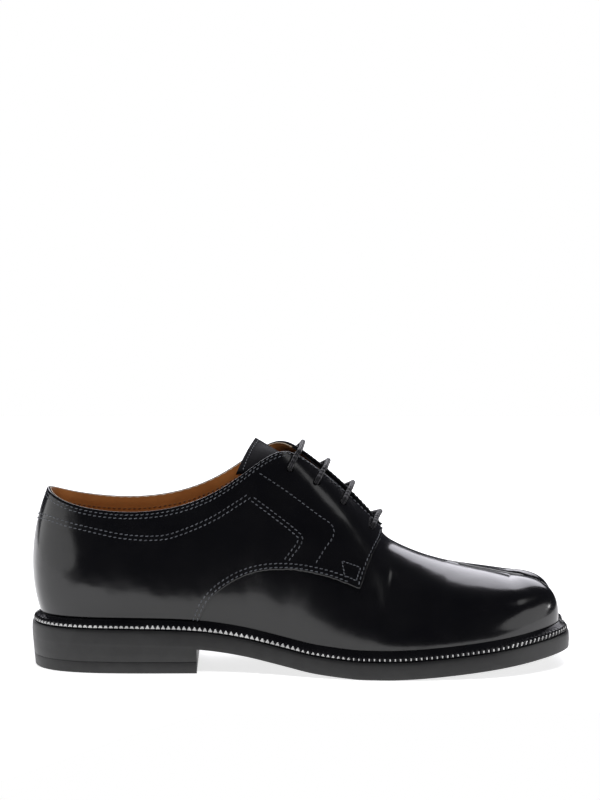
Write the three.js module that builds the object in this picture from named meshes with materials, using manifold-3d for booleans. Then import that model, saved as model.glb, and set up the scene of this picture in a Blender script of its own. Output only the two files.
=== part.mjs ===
// Split-toe derby shoe for the right foot, in millimetres.
// +X points to the toe, +Y to the inner side of the foot, +Z up. The shoe stands on Z = 0.
import * as THREE from 'three';
import { mergeVertices } from 'three/addons/utils/BufferGeometryUtils.js';
import Module from 'manifold-3d';

const wasm = await Module();
wasm.setup();

// Driving sizes of the shoe
const shoeLength = 298;
const ballWidth = 105;
const instepHeight = 124;
const heelLift = 15;
const toeSpring = 10.1;
const soleThickness = 9.6;
const heelLength = 92;
const topLiftThickness = 6.4;
const liftInset = 0.4;
const heelTaper = 1.5;

// Welt: how far the sole edge stands out from the upper, and the band's heights
const weltWidth = 5.2;
const weltEdgeHeight = 2.8;
const weltHeight = 5.7;
const weltSetback = 0.9;
const notchDepth = 10;
const notchWidth = 7;
const notchTipWidth = 1.6;

// Walls, clearances and soft parts
const upperWall = 1.6;
const quarterWall = 1.2;
const facingWall = 2.2;
const clearance = 0.3;
const quarterGap = 0.4;
const insoleThickness = 3;
const insoleClearance = 0.8;
const tongueThickness = 2.2;

// Lacing
const laceDiameter = 2.8;
const eyeletDiameter = 4.2;
const eyeletInset = 11;
const eyeletStations = [0.486, 0.533, 0.578, 0.628];
const laceRise = 8;

const halfBall = ballWidth / 2;

// Height of the outsole's underside over the heel and arch, as a share of the heel lift
const ARCH = [
  // [along, height]
  [0.000, 1.000],
  [0.200, 0.985],
  [0.310, 0.900],
  [0.389, 0.690],
  [0.476, 0.335],
  [0.520, 0.160],
  [0.567, 0.060],
  [0.605, 0.000],
];
const flatSpot = { from: 0.605, to: 0.667 };
const springPower = 1.45;

// One row for each section of the upper from the heel to the split. Lengths are shares of the shoe's
// length, widths of half the ball's width, heights of the instep. lateral and medial are the foot of
// the wall. top, half and height are the rim, the throat's edge and then the ridge of the vamp.
// lean and rise lead the wall out and up from its foot, over and drop lead it in to its top.
const SIDE = [
  // [along, lateral, medial, top, half, height, lean, rise, over, drop]
  [0.019, 0.000, 0.000, 0.034, 0.000, 0.796, 0.124, 0.153, 0.190, 0.190],
  [0.024, 0.171, 0.171, 0.039, 0.175, 0.786, 0.114, 0.153, 0.160, 0.195],
  [0.038, 0.312, 0.309, 0.054, 0.297, 0.768, 0.105, 0.153, 0.133, 0.202],
  [0.064, 0.427, 0.419, 0.076, 0.381, 0.749, 0.088, 0.153, 0.095, 0.194],
  [0.111, 0.510, 0.503, 0.116, 0.450, 0.729, 0.076, 0.145, 0.076, 0.185],
  [0.185, 0.541, 0.537, 0.185, 0.484, 0.715, 0.076, 0.145, 0.067, 0.177],
  [0.268, 0.537, 0.522, 0.268, 0.491, 0.736, 0.084, 0.161, 0.076, 0.194],
  [0.342, 0.530, 0.472, 0.342, 0.486, 0.803, 0.105, 0.194, 0.105, 0.210],
  [0.396, 0.550, 0.442, 0.396, 0.465, 0.890, 0.124, 0.226, 0.152, 0.226],
  [0.436, 0.590, 0.442, 0.433, 0.430, 0.953, 0.114, 0.250, 0.248, 0.210],
  [0.470, 0.634, 0.465, 0.463, 0.343, 0.981, 0.105, 0.274, 0.343, 0.145],
  [0.497, 0.678, 0.495, 0.490, 0.244, 0.958, 0.095, 0.290, 0.438, 0.081],
  [0.529, 0.730, 0.549, 0.527, 0.215, 0.892, 0.086, 0.298, 0.514, 0.069],
  [0.570, 0.796, 0.632, 0.570, 0.198, 0.803, 0.067, 0.274, 0.514, 0.065],
  [0.617, 0.851, 0.752, 0.614, 0.164, 0.694, 0.048, 0.234, 0.533, 0.056],
  [0.644, 0.870, 0.810, 0.644, 0.095, 0.613, 0.038, 0.210, 0.533, 0.032],
  [0.664, 0.876, 0.850, 0.663, 0.000, 0.559, 0.038, 0.194, 0.495, 0.000],
  [0.718, 0.874, 0.909, 0.718, 0.015, 0.497, 0.029, 0.161, 0.476, 0.000],
  [0.772, 0.848, 0.914, 0.772, 0.069, 0.455, 0.029, 0.153, 0.476, 0.000],
];
const throatRow = 16;
const forkRow = SIDE.length - 1;

// How much more the inner side leans out over the arch, for each share that its foot is cut in
const archLean = 0.9;

// Crest of each toe lobe beyond the fork
const CREST = {
  lateral: [
    // [along, across, height]
    [0.815, -0.038, 0.427],
    [0.859, -0.124, 0.408],
    [0.889, -0.181, 0.390],
  ],
  medial: [
    [0.812, 0.238, 0.427],
    [0.852, 0.333, 0.408],
    [0.883, 0.371, 0.394],
  ],
};

// One row for each section round a toe lobe, from its outer side round the front and back along the
// cleft to the fork. crest counts along the lobe's crest from the fork at 0.
const LOBE = {
  lateral: [
    // [along, across, crest, lean, rise, over]
    [0.820, -0.808, 1, 0.029, 0.145, 0.438],
    [0.866, -0.743, 2, 0.029, 0.137, 0.381],
    [0.906, -0.636, 3, 0.029, 0.129, 0.305],
    [0.940, -0.495, 3, 0.029, 0.125, 0.295],
    [0.966, -0.343, 3, 0.029, 0.137, 0.343],
    [0.981, -0.181, 3, 0.029, 0.141, 0.385],
    [0.979, -0.029, 3, 0.019, 0.137, 0.400],
    [0.968, 0.076, 3, 0.010, 0.129, 0.400],
    [0.951, 0.133, 3, 0.000, 0.153, 0.381],
    [0.913, 0.145, 3, 0.000, 0.177, 0.295],
    [0.866, 0.145, 2, 0.000, 0.194, 0.248],
    [0.826, 0.143, 1, 0.000, 0.214, 0.181],
    [0.805, 0.147, 0, 0.000, 0.222, 0.181],
    [0.800, 0.173, 0, 0.000, 0.226, 0.181],
  ],
  medial: [
    [0.820, 0.884, 1, 0.029, 0.153, 0.400],
    [0.866, 0.834, 2, 0.029, 0.145, 0.324],
    [0.909, 0.762, 3, 0.029, 0.133, 0.276],
    [0.941, 0.686, 3, 0.029, 0.129, 0.295],
    [0.963, 0.590, 3, 0.029, 0.129, 0.324],
    [0.974, 0.476, 3, 0.029, 0.141, 0.381],
    [0.976, 0.358, 3, 0.019, 0.137, 0.381],
    [0.966, 0.261, 3, 0.010, 0.125, 0.352],
    [0.951, 0.217, 3, 0.000, 0.145, 0.333],
    [0.913, 0.206, 3, 0.000, 0.169, 0.210],
    [0.866, 0.204, 2, 0.000, 0.185, 0.152],
    [0.826, 0.204, 1, 0.000, 0.206, 0.076],
    [0.805, 0.200, 0, 0.000, 0.222, 0.152],
    [0.800, 0.173, 0, 0.000, 0.226, 0.181],
  ],
};
const frontRow = { lateral: 5.5, medial: 6 };

// Front edge of a quarter, seen from the side, from the welt over the seam to the corner of the facing
const SEAM = [
  // [along, height]
  [0.305, 0.200],
  [0.316, 0.270],
  [0.334, 0.340],
  [0.370, 0.411],
  [0.406, 0.461],
  [0.440, 0.484],
  [0.476, 0.494],
  [0.515, 0.484],
  [0.555, 0.455],
  [0.611, 0.403],
];
const facingTop = { along: 0.646, height: 0.590 };
const facingCurve = 0.8;

// Tongue, from its top edge down to its end under the vamp. fall is how far both long edges hang
// down, skew and tilt how much the inner one lies further forward and higher than the middle.
const TONGUE = [
  // [along, height, half, fall, skew, tilt]
  [0.399, 0.957, 0.385, 0.014, 0.018, 0.056],
  [0.450, 0.955, 0.355, 0.044, 0.006, 0.024],
  [0.493, 0.895, 0.380, 0.062, 0.000, 0.008],
  [0.537, 0.825, 0.360, 0.050, 0.000, 0.000],
  [0.582, 0.748, 0.340, 0.048, 0.000, 0.000],
  [0.627, 0.633, 0.285, 0.040, 0.000, 0.000],
  [0.661, 0.532, 0.228, 0.030, 0.000, 0.000],
  [0.690, 0.482, 0.200, 0.020, 0.000, 0.000],
];

// Catmull-Rom value between the rows of a table at a row number, ends held
function rowAt(table, at) {
  const last = table.length - 1;
  const k = Math.min(Math.max(Math.floor(at), 0), last - 1);
  const f = Math.min(Math.max(at - k, 0), 1);
  const row = (i) => table[Math.min(Math.max(i, 0), last)];
  return table[k].map((_, c) => {
    const [p0, p1, p2, p3] = [row(k - 1)[c], row(k)[c], row(k + 1)[c], row(k + 2)[c]];
    const bend = 2 * p0 - 5 * p1 + 4 * p2 - p3;
    const turn = 3 * p1 - p0 - 3 * p2 + p3;
    return 0.5 * (2 * p1 + (p2 - p0) * f + bend * f * f + turn * f * f * f);
  });
}

// Value of a table's second column where its first column has a given value
function valueAt(table, x) {
  const last = table.length - 1;
  let k = 0;
  while (k < last - 1 && table[k + 1][0] < x) k += 1;
  const f = (x - table[k][0]) / (table[k + 1][0] - table[k][0]);
  const slope = (i) => {
    const a = table[Math.max(i - 1, 0)];
    const b = table[Math.min(i + 1, last)];
    return (b[1] - a[1]) / (b[0] - a[0]);
  };
  const width = table[k + 1][0] - table[k][0];
  const c = Math.min(Math.max(f, 0), 1);
  const [v0, v1, m0, m1] = [table[k][1], table[k + 1][1], slope(k) * width, slope(k + 1) * width];
  return (2 * c ** 3 - 3 * c ** 2 + 1) * v0 + (c ** 3 - 2 * c ** 2 + c) * m0
    + (3 * c ** 2 - 2 * c ** 3) * v1 + (c ** 3 - c ** 2) * m1;
}

// Underside of the outsole: level seat, arch, a flat spot at the ball and the toe spring
function soleBottom(x) {
  const along = x / shoeLength;
  if (along < flatSpot.from) return heelLift * valueAt(ARCH, along);
  if (along < flatSpot.to) return 0;
  return toeSpring * ((along - flatSpot.to) / (1 - flatSpot.to)) ** springPower;
}
const soleTop = (x) => soleBottom(x) + soleThickness;
const feather = (x) => soleTop(x) + weltHeight;

// Points closer than this are one
const mergeDistance = 1e-4;

// Mesh from points and faces, shared points merged and empty faces dropped
function surface(points, faces, normals) {
  const geometry = new THREE.BufferGeometry();
  geometry.setAttribute('position', new THREE.Float32BufferAttribute(points.flat(), 3));
  if (normals) geometry.setAttribute('normal', new THREE.Float32BufferAttribute(normals.flat(), 3));
  geometry.setIndex(faces.flat());
  const merged = mergeVertices(geometry, mergeDistance);
  const kept = [];
  const index = merged.index.array;
  for (let i = 0; i < index.length; i += 3) {
    const [a, b, c] = [index[i], index[i + 1], index[i + 2]];
    if (a !== b && b !== c && a !== c) kept.push(a, b, c);
  }
  merged.setIndex(kept);
  return merged;
}

function toSolid(geometry) {
  const plain = geometry.index ? geometry.clone() : geometry;
  plain.deleteAttribute('normal');
  plain.deleteAttribute('uv');
  const merged = mergeVertices(plain, mergeDistance);
  return new wasm.Manifold(new wasm.Mesh({
    numProp: 3,
    vertProperties: new Float32Array(merged.attributes.position.array),
    triVerts: new Uint32Array(merged.index.array),
  }));
}

function fromSolid(solid) {
  const mesh = solid.getMesh();
  const geometry = new THREE.BufferGeometry();
  geometry.setAttribute('position', new THREE.BufferAttribute(mesh.vertProperties, 3));
  geometry.setIndex(new THREE.BufferAttribute(mesh.triVerts, 1));
  return geometry;
}

// Faces of a grid of points, one ring or strip after another, facing out
function gridFaces(rows, columns) {
  const faces = [];
  for (let i = 0; i < rows - 1; i += 1) {
    for (let j = 0; j < columns - 1; j += 1) {
      const a = i * columns + j;
      const b = a + columns;
      faces.push([a, b, b + 1], [a, b + 1, a + 1]);
    }
  }
  return faces;
}

// Solid between two offsets of an open surface, its free edges closed by a band
function thicken(open, near, far) {
  if (!open.attributes.normal) open.computeVertexNormals();
  const place = open.attributes.position;
  const normal = open.attributes.normal;
  const count = place.count;
  const points = [];
  for (const side of [far, near]) {
    for (let i = 0; i < count; i += 1) {
      const p = new THREE.Vector3().fromBufferAttribute(place, i);
      const n = new THREE.Vector3().fromBufferAttribute(normal, i);
      points.push(p.addScaledVector(n, typeof side === 'function' ? side(p) : side).toArray());
    }
  }
  const index = open.index.array;
  const faces = [];
  const edges = new Map();
  for (let i = 0; i < index.length; i += 3) {
    const corner = [index[i], index[i + 1], index[i + 2]];
    faces.push(corner, [corner[0] + count, corner[2] + count, corner[1] + count]);
    for (let k = 0; k < 3; k += 1) {
      const [a, b] = [corner[k], corner[(k + 1) % 3]];
      if (edges.has(`${b} ${a}`)) edges.delete(`${b} ${a}`);
      else edges.set(`${a} ${b}`, [a, b]);
    }
  }
  for (const [a, b] of edges.values()) {
    faces.push([b, a, a + count], [b, a + count, b + count]);
  }
  return surface(points, faces);
}

// The top of a section: the rim or throat edge, the ridge, or the crest of a lobe
function topPoint(side, at) {
  const sign = side === 'lateral' ? -1 : 1;
  const scale = (along, across, height) => new THREE.Vector3(
    along * shoeLength, across * halfBall, height * instepHeight);
  if (at <= throatRow) {
    const [, , , along, half, height] = rowAt(SIDE.slice(0, throatRow + 1), at);
    return scale(along, sign * half, height);
  }
  if (at <= forkRow) {
    const [, , , along, across, height] = rowAt(SIDE.slice(throatRow), at - throatRow);
    return scale(along, across, height);
  }
  const [, , , along, across, height] = SIDE[forkRow];
  return scale(...rowAt([[along, across, height], ...CREST[side]], at - forkRow));
}

// One section of the upper from its foot to its top: place of the foot, top, and the two leads
function section(side, at) {
  const sign = side === 'lateral' ? -1 : 1;
  if (at <= forkRow) {
    const [along, lateral, medial, , , , lean, rise, over, drop] = rowAt(SIDE, at);
    const cut = archLean * Math.max(0, lateral - medial);
    const across = sign * (side === 'lateral' ? lateral : medial);
    return { along, across, lean: lean + (side === 'medial' ? cut : 0), rise, over, drop, top: at };
  }
  const own = side === 'lateral' ? 1 : 2;
  const [along, , , , , , lean, rise, over] = SIDE[forkRow];
  const before = SIDE[forkRow - 1];
  const rows = [
    [before[0], sign * before[own], 0, before[6], before[7], before[8]],
    [along, sign * SIDE[forkRow][own], 0, lean, rise, over],
    ...LOBE[side],
  ];
  const place = rowAt(rows, at - forkRow + 1);
  const k = Math.min(Math.floor(at - forkRow + 1), rows.length - 2);
  const f = at - forkRow + 1 - k;
  const crest = rows[k][2] + (rows[k + 1][2] - rows[k][2]) * f;
  return {
    along: place[0], across: place[1], lean: place[3], rise: place[4], over: place[5], drop: 0,
    top: forkRow + crest,
  };
}
const lastRow = { lateral: forkRow + LOBE.lateral.length, medial: forkRow + LOBE.medial.length };

function footPoint(side, at) {
  const { along, across } = section(side, at);
  return new THREE.Vector3(along * shoeLength, across * halfBall, 0);
}

// Level direction out of the upper at the foot of a section
function outward(side, at) {
  const step = 0.05;
  const a = footPoint(side, Math.max(at - step, 0));
  const b = footPoint(side, Math.min(at + step, lastRow[side]));
  if (at < step) return new THREE.Vector3(-1, 0, 0);
  const d = b.sub(a).normalize();
  return side === 'lateral' ? new THREE.Vector3(d.y, -d.x, 0) : new THREE.Vector3(-d.y, d.x, 0);
}

// Rows before the throat over which the lead to the top turns from the wall's own direction across
const turnRows = 6;

// Point of the last's surface on a section, level 0 at the feather line and 1 at the top
function lastPoint(side, at, level) {
  const { lean, rise, over, drop, top } = section(side, at);
  const foot = footPoint(side, at);
  foot.z = feather(foot.x);
  const out = outward(side, at);
  const end = topPoint(side, top);
  const up = new THREE.Vector3(0, 0, 1);
  const lead = foot.clone().addScaledVector(out, lean * halfBall).addScaledVector(up, rise * instepHeight);
  const toFoot = new THREE.Vector3(foot.x - end.x, foot.y - end.y, 0).normalize();
  const blend = THREE.MathUtils.smoothstep(at, throatRow - turnRows, throatRow);
  const away = out.clone().lerp(toFoot, blend).normalize();
  const follow = end.clone().addScaledVector(away, over * halfBall).addScaledVector(up, -drop * instepHeight);
  const [u, v] = [1 - level, level];
  return foot.multiplyScalar(u ** 3).addScaledVector(lead, 3 * u * u * v)
    .addScaledVector(follow, 3 * u * v * v).addScaledVector(end, v ** 3);
}

// Direction out of the last's surface
function lastNormal(side, at, level) {
  const step = 0.02;
  const [back, front] = [Math.max(at - step, 0), Math.min(at + step, lastRow[side])];
  const [low, high] = [Math.max(level - step, 0), Math.min(level + step, 1)];
  const along = lastPoint(side, front, level).sub(lastPoint(side, back, level));
  const up = lastPoint(side, at, high).sub(lastPoint(side, at, low));
  const normal = along.cross(up).normalize();
  return side === 'lateral' ? normal : normal.negate();
}

// Section numbers from the heel on, with steps between the rows, closer where the facing ends
const sectionSteps = 2;
const cornerSteps = 4;
function stepsFrom(at) {
  return at >= throatRow - 2 && at < throatRow ? cornerSteps : sectionSteps;
}
const levels = 7;
function stationsUntil(until) {
  const list = [];
  let at = 0;
  while (at < until) {
    list.push(at);
    at += 1 / stepsFrom(at);
  }
  list.push(until);
  return list;
}

// Skin of one side: its grid of points from the heel on, starting below the welt
function sideGrid(side, stations, lowest, belowWelt) {
  const points = [];
  const normals = [];
  for (const at of stations) {
    const floor = lowest(at);
    if (belowWelt) {
      const foot = footPoint(side, at);
      points.push([foot.x, foot.y, soleTop(foot.x) + clearance]);
    }
    for (let j = 0; j <= levels; j += 1) {
      const level = Math.max(j / levels, floor);
      points.push(lastPoint(side, at, level).toArray());
      normals.push(lastNormal(side, at, level).toArray());
    }
  }
  const columns = levels + 1 + (belowWelt ? 1 : 0);
  const faces = gridFaces(stations.length, columns);
  return { points, normals, faces: side === 'lateral' ? faces : faces.map(([a, b, c]) => [a, c, b]) };
}

function join(grids) {
  const points = [];
  const faces = [];
  for (const grid of grids) {
    const start = points.length;
    points.push(...grid.points);
    faces.push(...grid.faces.map((face) => face.map((i) => i + start)));
  }
  return surface(points, faces);
}

function makeUpperSkin() {
  return join(['lateral', 'medial'].map((side) => (
    sideGrid(side, stationsUntil(lastRow[side]), () => 0, true))));
}

// Height of the quarter's front edge above a length, 0 behind the seam
function seamHeight(x) {
  const along = x / shoeLength;
  const tip = SEAM[SEAM.length - 1];
  if (along <= SEAM[0][0]) return 0;
  if (along <= tip[0]) return instepHeight * valueAt(SEAM, along);
  if (along > facingTop.along) return instepHeight;
  const f = (along - tip[0]) / (facingTop.along - tip[0]);
  return instepHeight * (tip[1] + (facingTop.height - tip[1]) * f ** facingCurve);
}

// Level on a section where the quarter starts
function quarterFloor(side, at) {
  const steps = 200;
  const lift = 0.006;
  for (let k = 0; k <= steps; k += 1) {
    const p = lastPoint(side, at, k / steps);
    if (p.z >= seamHeight(p.x)) return Math.max(k / steps, lift);
  }
  return 1;
}

// Section numbers where a quarter starts, just beside the middle of the heel, and ends at the facing
const backSeam = 0.018;
const facingEnd = throatRow - 0.25;

// Where along the shoe the quarter's wall grows into the stiffer facing
const facingFade = { from: 0.42, to: 0.6 };

function makeQuarter(side) {
  const stations = stationsUntil(facingEnd);
  stations[0] = backSeam;
  const skin = sideGrid(side, stations, (at) => quarterFloor(side, at), false);
  const wall = (p) => {
    const f = THREE.MathUtils.smoothstep(p.x / shoeLength, facingFade.from, facingFade.to);
    return quarterGap + quarterWall + (facingWall - quarterWall) * f;
  };
  return thicken(surface(skin.points, skin.faces, skin.normals), quarterGap, wall);
}

// Outline of the foot of the upper without the cleft, offset outward
function footOutline(offset, bridged) {
  const points = [];
  const add = (side, stations) => {
    for (const at of stations) {
      const p = footPoint(side, at).addScaledVector(outward(side, at), offset);
      points.push(new THREE.Vector2(p.x, p.y));
    }
  };
  const ends = bridged
    ? { lateral: forkRow + 1 + frontRow.lateral, medial: forkRow + 1 + frontRow.medial }
    : lastRow;
  add('lateral', stationsUntil(ends.lateral));
  const back = stationsUntil(ends.medial).reverse();
  add('medial', bridged ? back.slice(0, -1) : back.slice(1, -1));
  return points;
}

// Upright prism over an outline
function prism(outline, low, high) {
  const geometry = new THREE.ExtrudeGeometry(new THREE.Shape(outline), {
    depth: high - low, bevelEnabled: false,
  });
  geometry.translate(0, 0, low);
  return toSolid(geometry);
}

// Slab between two height profiles along the shoe
const bandMargin = 10;
const bandSteps = 48;
function band(low, high, from, to) {
  const stations = [];
  const step = shoeLength / bandSteps;
  for (let x = from; x < to - step / 2; x += step) stations.push(x);
  stations.push(to);
  const side = ballWidth;
  const points = [];
  for (const x of stations) {
    points.push([x, -side, low(x)], [x, side, low(x)], [x, side, high(x)], [x, -side, high(x)]);
  }
  const faces = [[0, 3, 2], [0, 2, 1]];
  for (let i = 0; i < stations.length - 1; i += 1) {
    for (let k = 0; k < 4; k += 1) {
      const a = i * 4 + k;
      const b = i * 4 + ((k + 1) % 4);
      faces.push([a, b, b + 4], [a, b + 4, a + 4]);
    }
  }
  const e = (stations.length - 1) * 4;
  faces.push([e, e + 1, e + 2], [e, e + 2, e + 3]);
  return toSolid(surface(points, faces));
}

// Half height of the prisms that cut the flat pieces
const tall = instepHeight;

const notchTip = shoeLength - notchDepth;
const notchCentre = LOBE.lateral[LOBE.lateral.length - 1][1] * halfBall;

// Wedge that cuts the sole and welt where the toe is split
function notchWedge() {
  const mouth = shoeLength + notchDepth;
  return prism([
    new THREE.Vector2(notchTip, notchCentre - notchTipWidth / 2),
    new THREE.Vector2(mouth, notchCentre - notchWidth),
    new THREE.Vector2(mouth, notchCentre + notchWidth),
    new THREE.Vector2(notchTip, notchCentre + notchTipWidth / 2),
  ], -tall, tall);
}

function makeOutsole() {
  const outline = prism(footOutline(weltWidth + weltSetback, true), -tall, tall);
  const slab = outline.intersect(band(soleBottom, soleTop, -bandMargin, shoeLength + bandMargin));
  return fromSolid(slab.subtract(notchWedge()));
}

// Stack of the heel between two heights, its sides drawn in towards the floor
function makeHeelPiece(low, high) {
  const rings = [0, heelLift].map((z) => {
    const inset = heelTaper * (1 - z / heelLift) + liftInset;
    return footOutline(weltWidth + weltSetback - inset, true).map((p) => [p.x, p.y, z]);
  });
  const count = rings[0].length;
  const faces = [];
  for (let i = 0; i < count; i += 1) {
    const next = (i + 1) % count;
    faces.push([i, next, next + count], [i, next + count, i + count]);
  }
  const lid = THREE.ShapeUtils.triangulateShape(rings[0].map(([x, y]) => new THREE.Vector2(x, y)), []);
  for (const [a, b, c] of lid) faces.push([a, c, b], [a + count, b + count, c + count]);
  const stack = toSolid(surface(rings.flat(), faces));
  return fromSolid(stack.intersect(band(low, high, -bandMargin, heelLength)));
}

function makeWelt() {
  const loops = [
    [clearance, clearance],
    [weltWidth, clearance],
    [weltWidth, weltEdgeHeight],
    [clearance, weltHeight],
  ].map(([offset, rise]) => footOutline(offset, true).map((p) => [p, rise]));
  const count = loops[0].length;
  const points = [];
  for (let i = 0; i < count; i += 1) {
    for (const loop of loops) {
      const [p, rise] = loop[i];
      points.push([p.x, p.y, soleTop(p.x) + rise]);
    }
  }
  const faces = [];
  for (let i = 0; i < count; i += 1) {
    const next = ((i + 1) % count) * 4;
    for (let k = 0; k < 4; k += 1) {
      const [a, b] = [i * 4 + k, i * 4 + ((k + 1) % 4)];
      const [c, d] = [next + k, next + ((k + 1) % 4)];
      faces.push([a, c, d], [a, d, b]);
    }
  }
  return fromSolid(toSolid(surface(points, faces)).subtract(notchWedge()));
}

function makeInsole() {
  const outline = prism(footOutline(-upperWall - insoleClearance, false), -tall, tall);
  const low = (x) => soleTop(x) + clearance;
  const high = (x) => low(x) + insoleThickness;
  return fromSolid(outline.intersect(band(low, high, -bandMargin, shoeLength + bandMargin)));
}

function makeTongue() {
  const steps = 2;
  const across = 6;
  const points = [];
  const rows = (TONGUE.length - 1) * steps + 1;
  for (let i = 0; i < rows; i += 1) {
    const [along, height, half, fall, skew, tilt] = rowAt(TONGUE, i / steps);
    for (let j = 0; j <= across; j += 1) {
      const s = 1 - (2 * j) / across;
      points.push([
        (along + skew * s) * shoeLength,
        s * half * halfBall,
        (height - fall * s * s + tilt * s) * instepHeight,
      ]);
    }
  }
  const faces = gridFaces(rows, across + 1);
  return thicken(surface(points, faces.map(([a, b, c]) => [a, c, b])), -tongueThickness, 0);
}

// Section number where the throat's edge passes a length
function throatAt(along) {
  let at = throatRow;
  while (at > 0 && topPoint('lateral', at).x > along * shoeLength) at -= 0.01;
  return at;
}

// Centre of an eyelet on the last, with the direction out of the leather
function eyeletPlace(side, along) {
  const at = throatAt(along);
  const top = topPoint(side, at);
  let level = 1;
  while (lastPoint(side, at, level).distanceTo(top) < eyeletInset) level -= 0.002;
  const centre = lastPoint(side, at, level);
  const span = 0.05;
  const alongStep = lastPoint(side, at + span, level).sub(lastPoint(side, at - span, level));
  const upStep = lastPoint(side, at, level + span).sub(lastPoint(side, at, level - span));
  const normal = alongStep.cross(upStep).normalize();
  if (normal.z < 0) normal.negate();
  return { centre, normal };
}

function eyeletDrill(side, along) {
  const { centre, normal } = eyeletPlace(side, along);
  const reach = 14;
  const sides = 12;
  const radius = eyeletDiameter / 2;
  const drill = new THREE.CylinderGeometry(radius, radius, reach, sides);
  const turn = new THREE.Quaternion().setFromUnitVectors(new THREE.Vector3(0, 1, 0), normal);
  drill.applyQuaternion(turn);
  drill.translate(centre.x, centre.y, centre.z);
  return toSolid(drill);
}

function drilled(geometry, sides) {
  let solid = toSolid(geometry);
  for (const side of sides) {
    for (const along of eyeletStations) solid = solid.subtract(eyeletDrill(side, along));
  }
  return fromSolid(solid);
}

// How a crossing leaves its eyelet, in millimetres above the facing and in towards the tongue
const LACE_SEAT = [
  // [rise, inward]
  [-1.2, 0],
  [0.8, 0],
  [0.9 * laceDiameter, 0.6 * laceDiameter],
];

// One straight crossing of the lace, out of one eyelet and down into the other
function makeLaceBar(along) {
  const [left, right] = ['lateral', 'medial'].map((side) => eyeletPlace(side, along));
  const surfaceLift = quarterGap + facingWall;
  const route = [];
  const across = new THREE.Vector3(0, 1, 0);
  const seat = (eyelet, rise, inward) => eyelet.centre.clone()
    .addScaledVector(eyelet.normal, rise).addScaledVector(across, inward);
  const crown = left.centre.clone().add(right.centre).multiplyScalar(0.5);
  const lift = left.normal.clone().add(right.normal).normalize();
  const crest = topPoint('lateral', throatAt(along));
  const bow = crest.z - crown.z;
  crown.addScaledVector(lift, bow + laceRise);
  for (const [rise, inward] of LACE_SEAT) route.push(seat(left, surfaceLift + rise, inward));
  route.push(crown);
  for (const [rise, inward] of LACE_SEAT.toReversed()) {
    route.push(seat(right, surfaceLift + rise, -inward));
  }
  const path = new THREE.CatmullRomCurve3(route, false, 'centripetal');
  const ring = new THREE.Shape();
  ring.absarc(0, 0, laceDiameter / 2, 0, Math.PI * 2);
  const steps = 12;
  const curveSegments = 4;
  const geometry = new THREE.ExtrudeGeometry(ring, {
    steps, curveSegments, bevelEnabled: false, extrudePath: path,
  });
  return fromSolid(toSolid(geometry));
}

const leather = { color: 0x0d0d0e, roughness: 0.12, metalness: 0 };
const rubber = { color: 0x2b2b2c, roughness: 0.45, metalness: 0 };

const group = new THREE.Group();
function add(name, geometry, look) {
  const mesh = new THREE.Mesh(geometry, new THREE.MeshStandardMaterial(look));
  mesh.name = name;
  group.add(mesh);
}

const blockBottom = () => topLiftThickness + clearance;
const blockTop = (x) => soleBottom(x) - clearance;
add('outsole', makeOutsole(), rubber);
add('heel_block', makeHeelPiece(blockBottom, blockTop), rubber);
add('top_lift', makeHeelPiece(() => 0, () => topLiftThickness), rubber);
add('welt', makeWelt(), { color: 0x111112, roughness: 0.35, metalness: 0 });
add('insole', makeInsole(), { color: 0x8a4a1c, roughness: 0.6, metalness: 0 });
add('upper', drilled(thicken(makeUpperSkin(), -upperWall, 0), ['lateral', 'medial']), leather);
for (const side of ['lateral', 'medial']) {
  add(`quarter_${side}`, drilled(makeQuarter(side), [side]), leather);
}
add('tongue', makeTongue(), leather);
eyeletStations.forEach((along, i) => {
  add(`lace_bar_${i + 1}`, makeLaceBar(along), { color: 0x17161a, roughness: 0.8, metalness: 0 });
});

// The shoe stands with the middle of its box over the origin
const box = new THREE.Box3().setFromObject(group);
group.position.set(-(box.min.x + box.max.x) / 2, -(box.min.y + box.max.y) / 2, -box.min.z);

export default group;
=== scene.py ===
import math
import bmesh
import bpy
import numpy as np
from mathutils import Matrix, Quaternion, Vector

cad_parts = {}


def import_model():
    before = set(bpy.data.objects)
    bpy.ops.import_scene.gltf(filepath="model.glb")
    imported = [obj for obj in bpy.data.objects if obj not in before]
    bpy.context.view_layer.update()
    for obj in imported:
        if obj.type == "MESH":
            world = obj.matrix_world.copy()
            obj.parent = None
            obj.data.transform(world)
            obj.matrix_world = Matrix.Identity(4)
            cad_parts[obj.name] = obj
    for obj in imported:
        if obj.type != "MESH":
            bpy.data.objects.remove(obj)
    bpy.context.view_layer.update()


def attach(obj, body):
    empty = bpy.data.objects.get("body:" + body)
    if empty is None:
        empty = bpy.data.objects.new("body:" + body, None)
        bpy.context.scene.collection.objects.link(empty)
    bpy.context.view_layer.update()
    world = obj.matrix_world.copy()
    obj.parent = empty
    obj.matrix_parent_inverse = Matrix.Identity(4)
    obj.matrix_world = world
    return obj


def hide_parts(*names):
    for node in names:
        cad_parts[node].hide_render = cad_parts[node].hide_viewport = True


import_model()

MILLIMETRE = 0.001
ORIGIN = np.array([149.075, 1.002, 0.0])


def world(points):
    return (np.asarray(points, float) - ORIGIN) * MILLIMETRE


def unit(vectors):
    return vectors / np.linalg.norm(vectors, axis=-1, keepdims=True)


def add_object(name, data):
    made = bpy.data.objects.new(name, data)
    bpy.context.collection.objects.link(made)
    return made


# Camera: a long lens that looks along +Y a little from above
VIEW_TARGET = (148.9, 0.0, 147.6)
VIEW_DISTANCE = 2500.0
VIEW_ELEVATION = math.radians(8.5)
VIEW_HEIGHT = 443.0
SENSOR = 36.0


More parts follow.
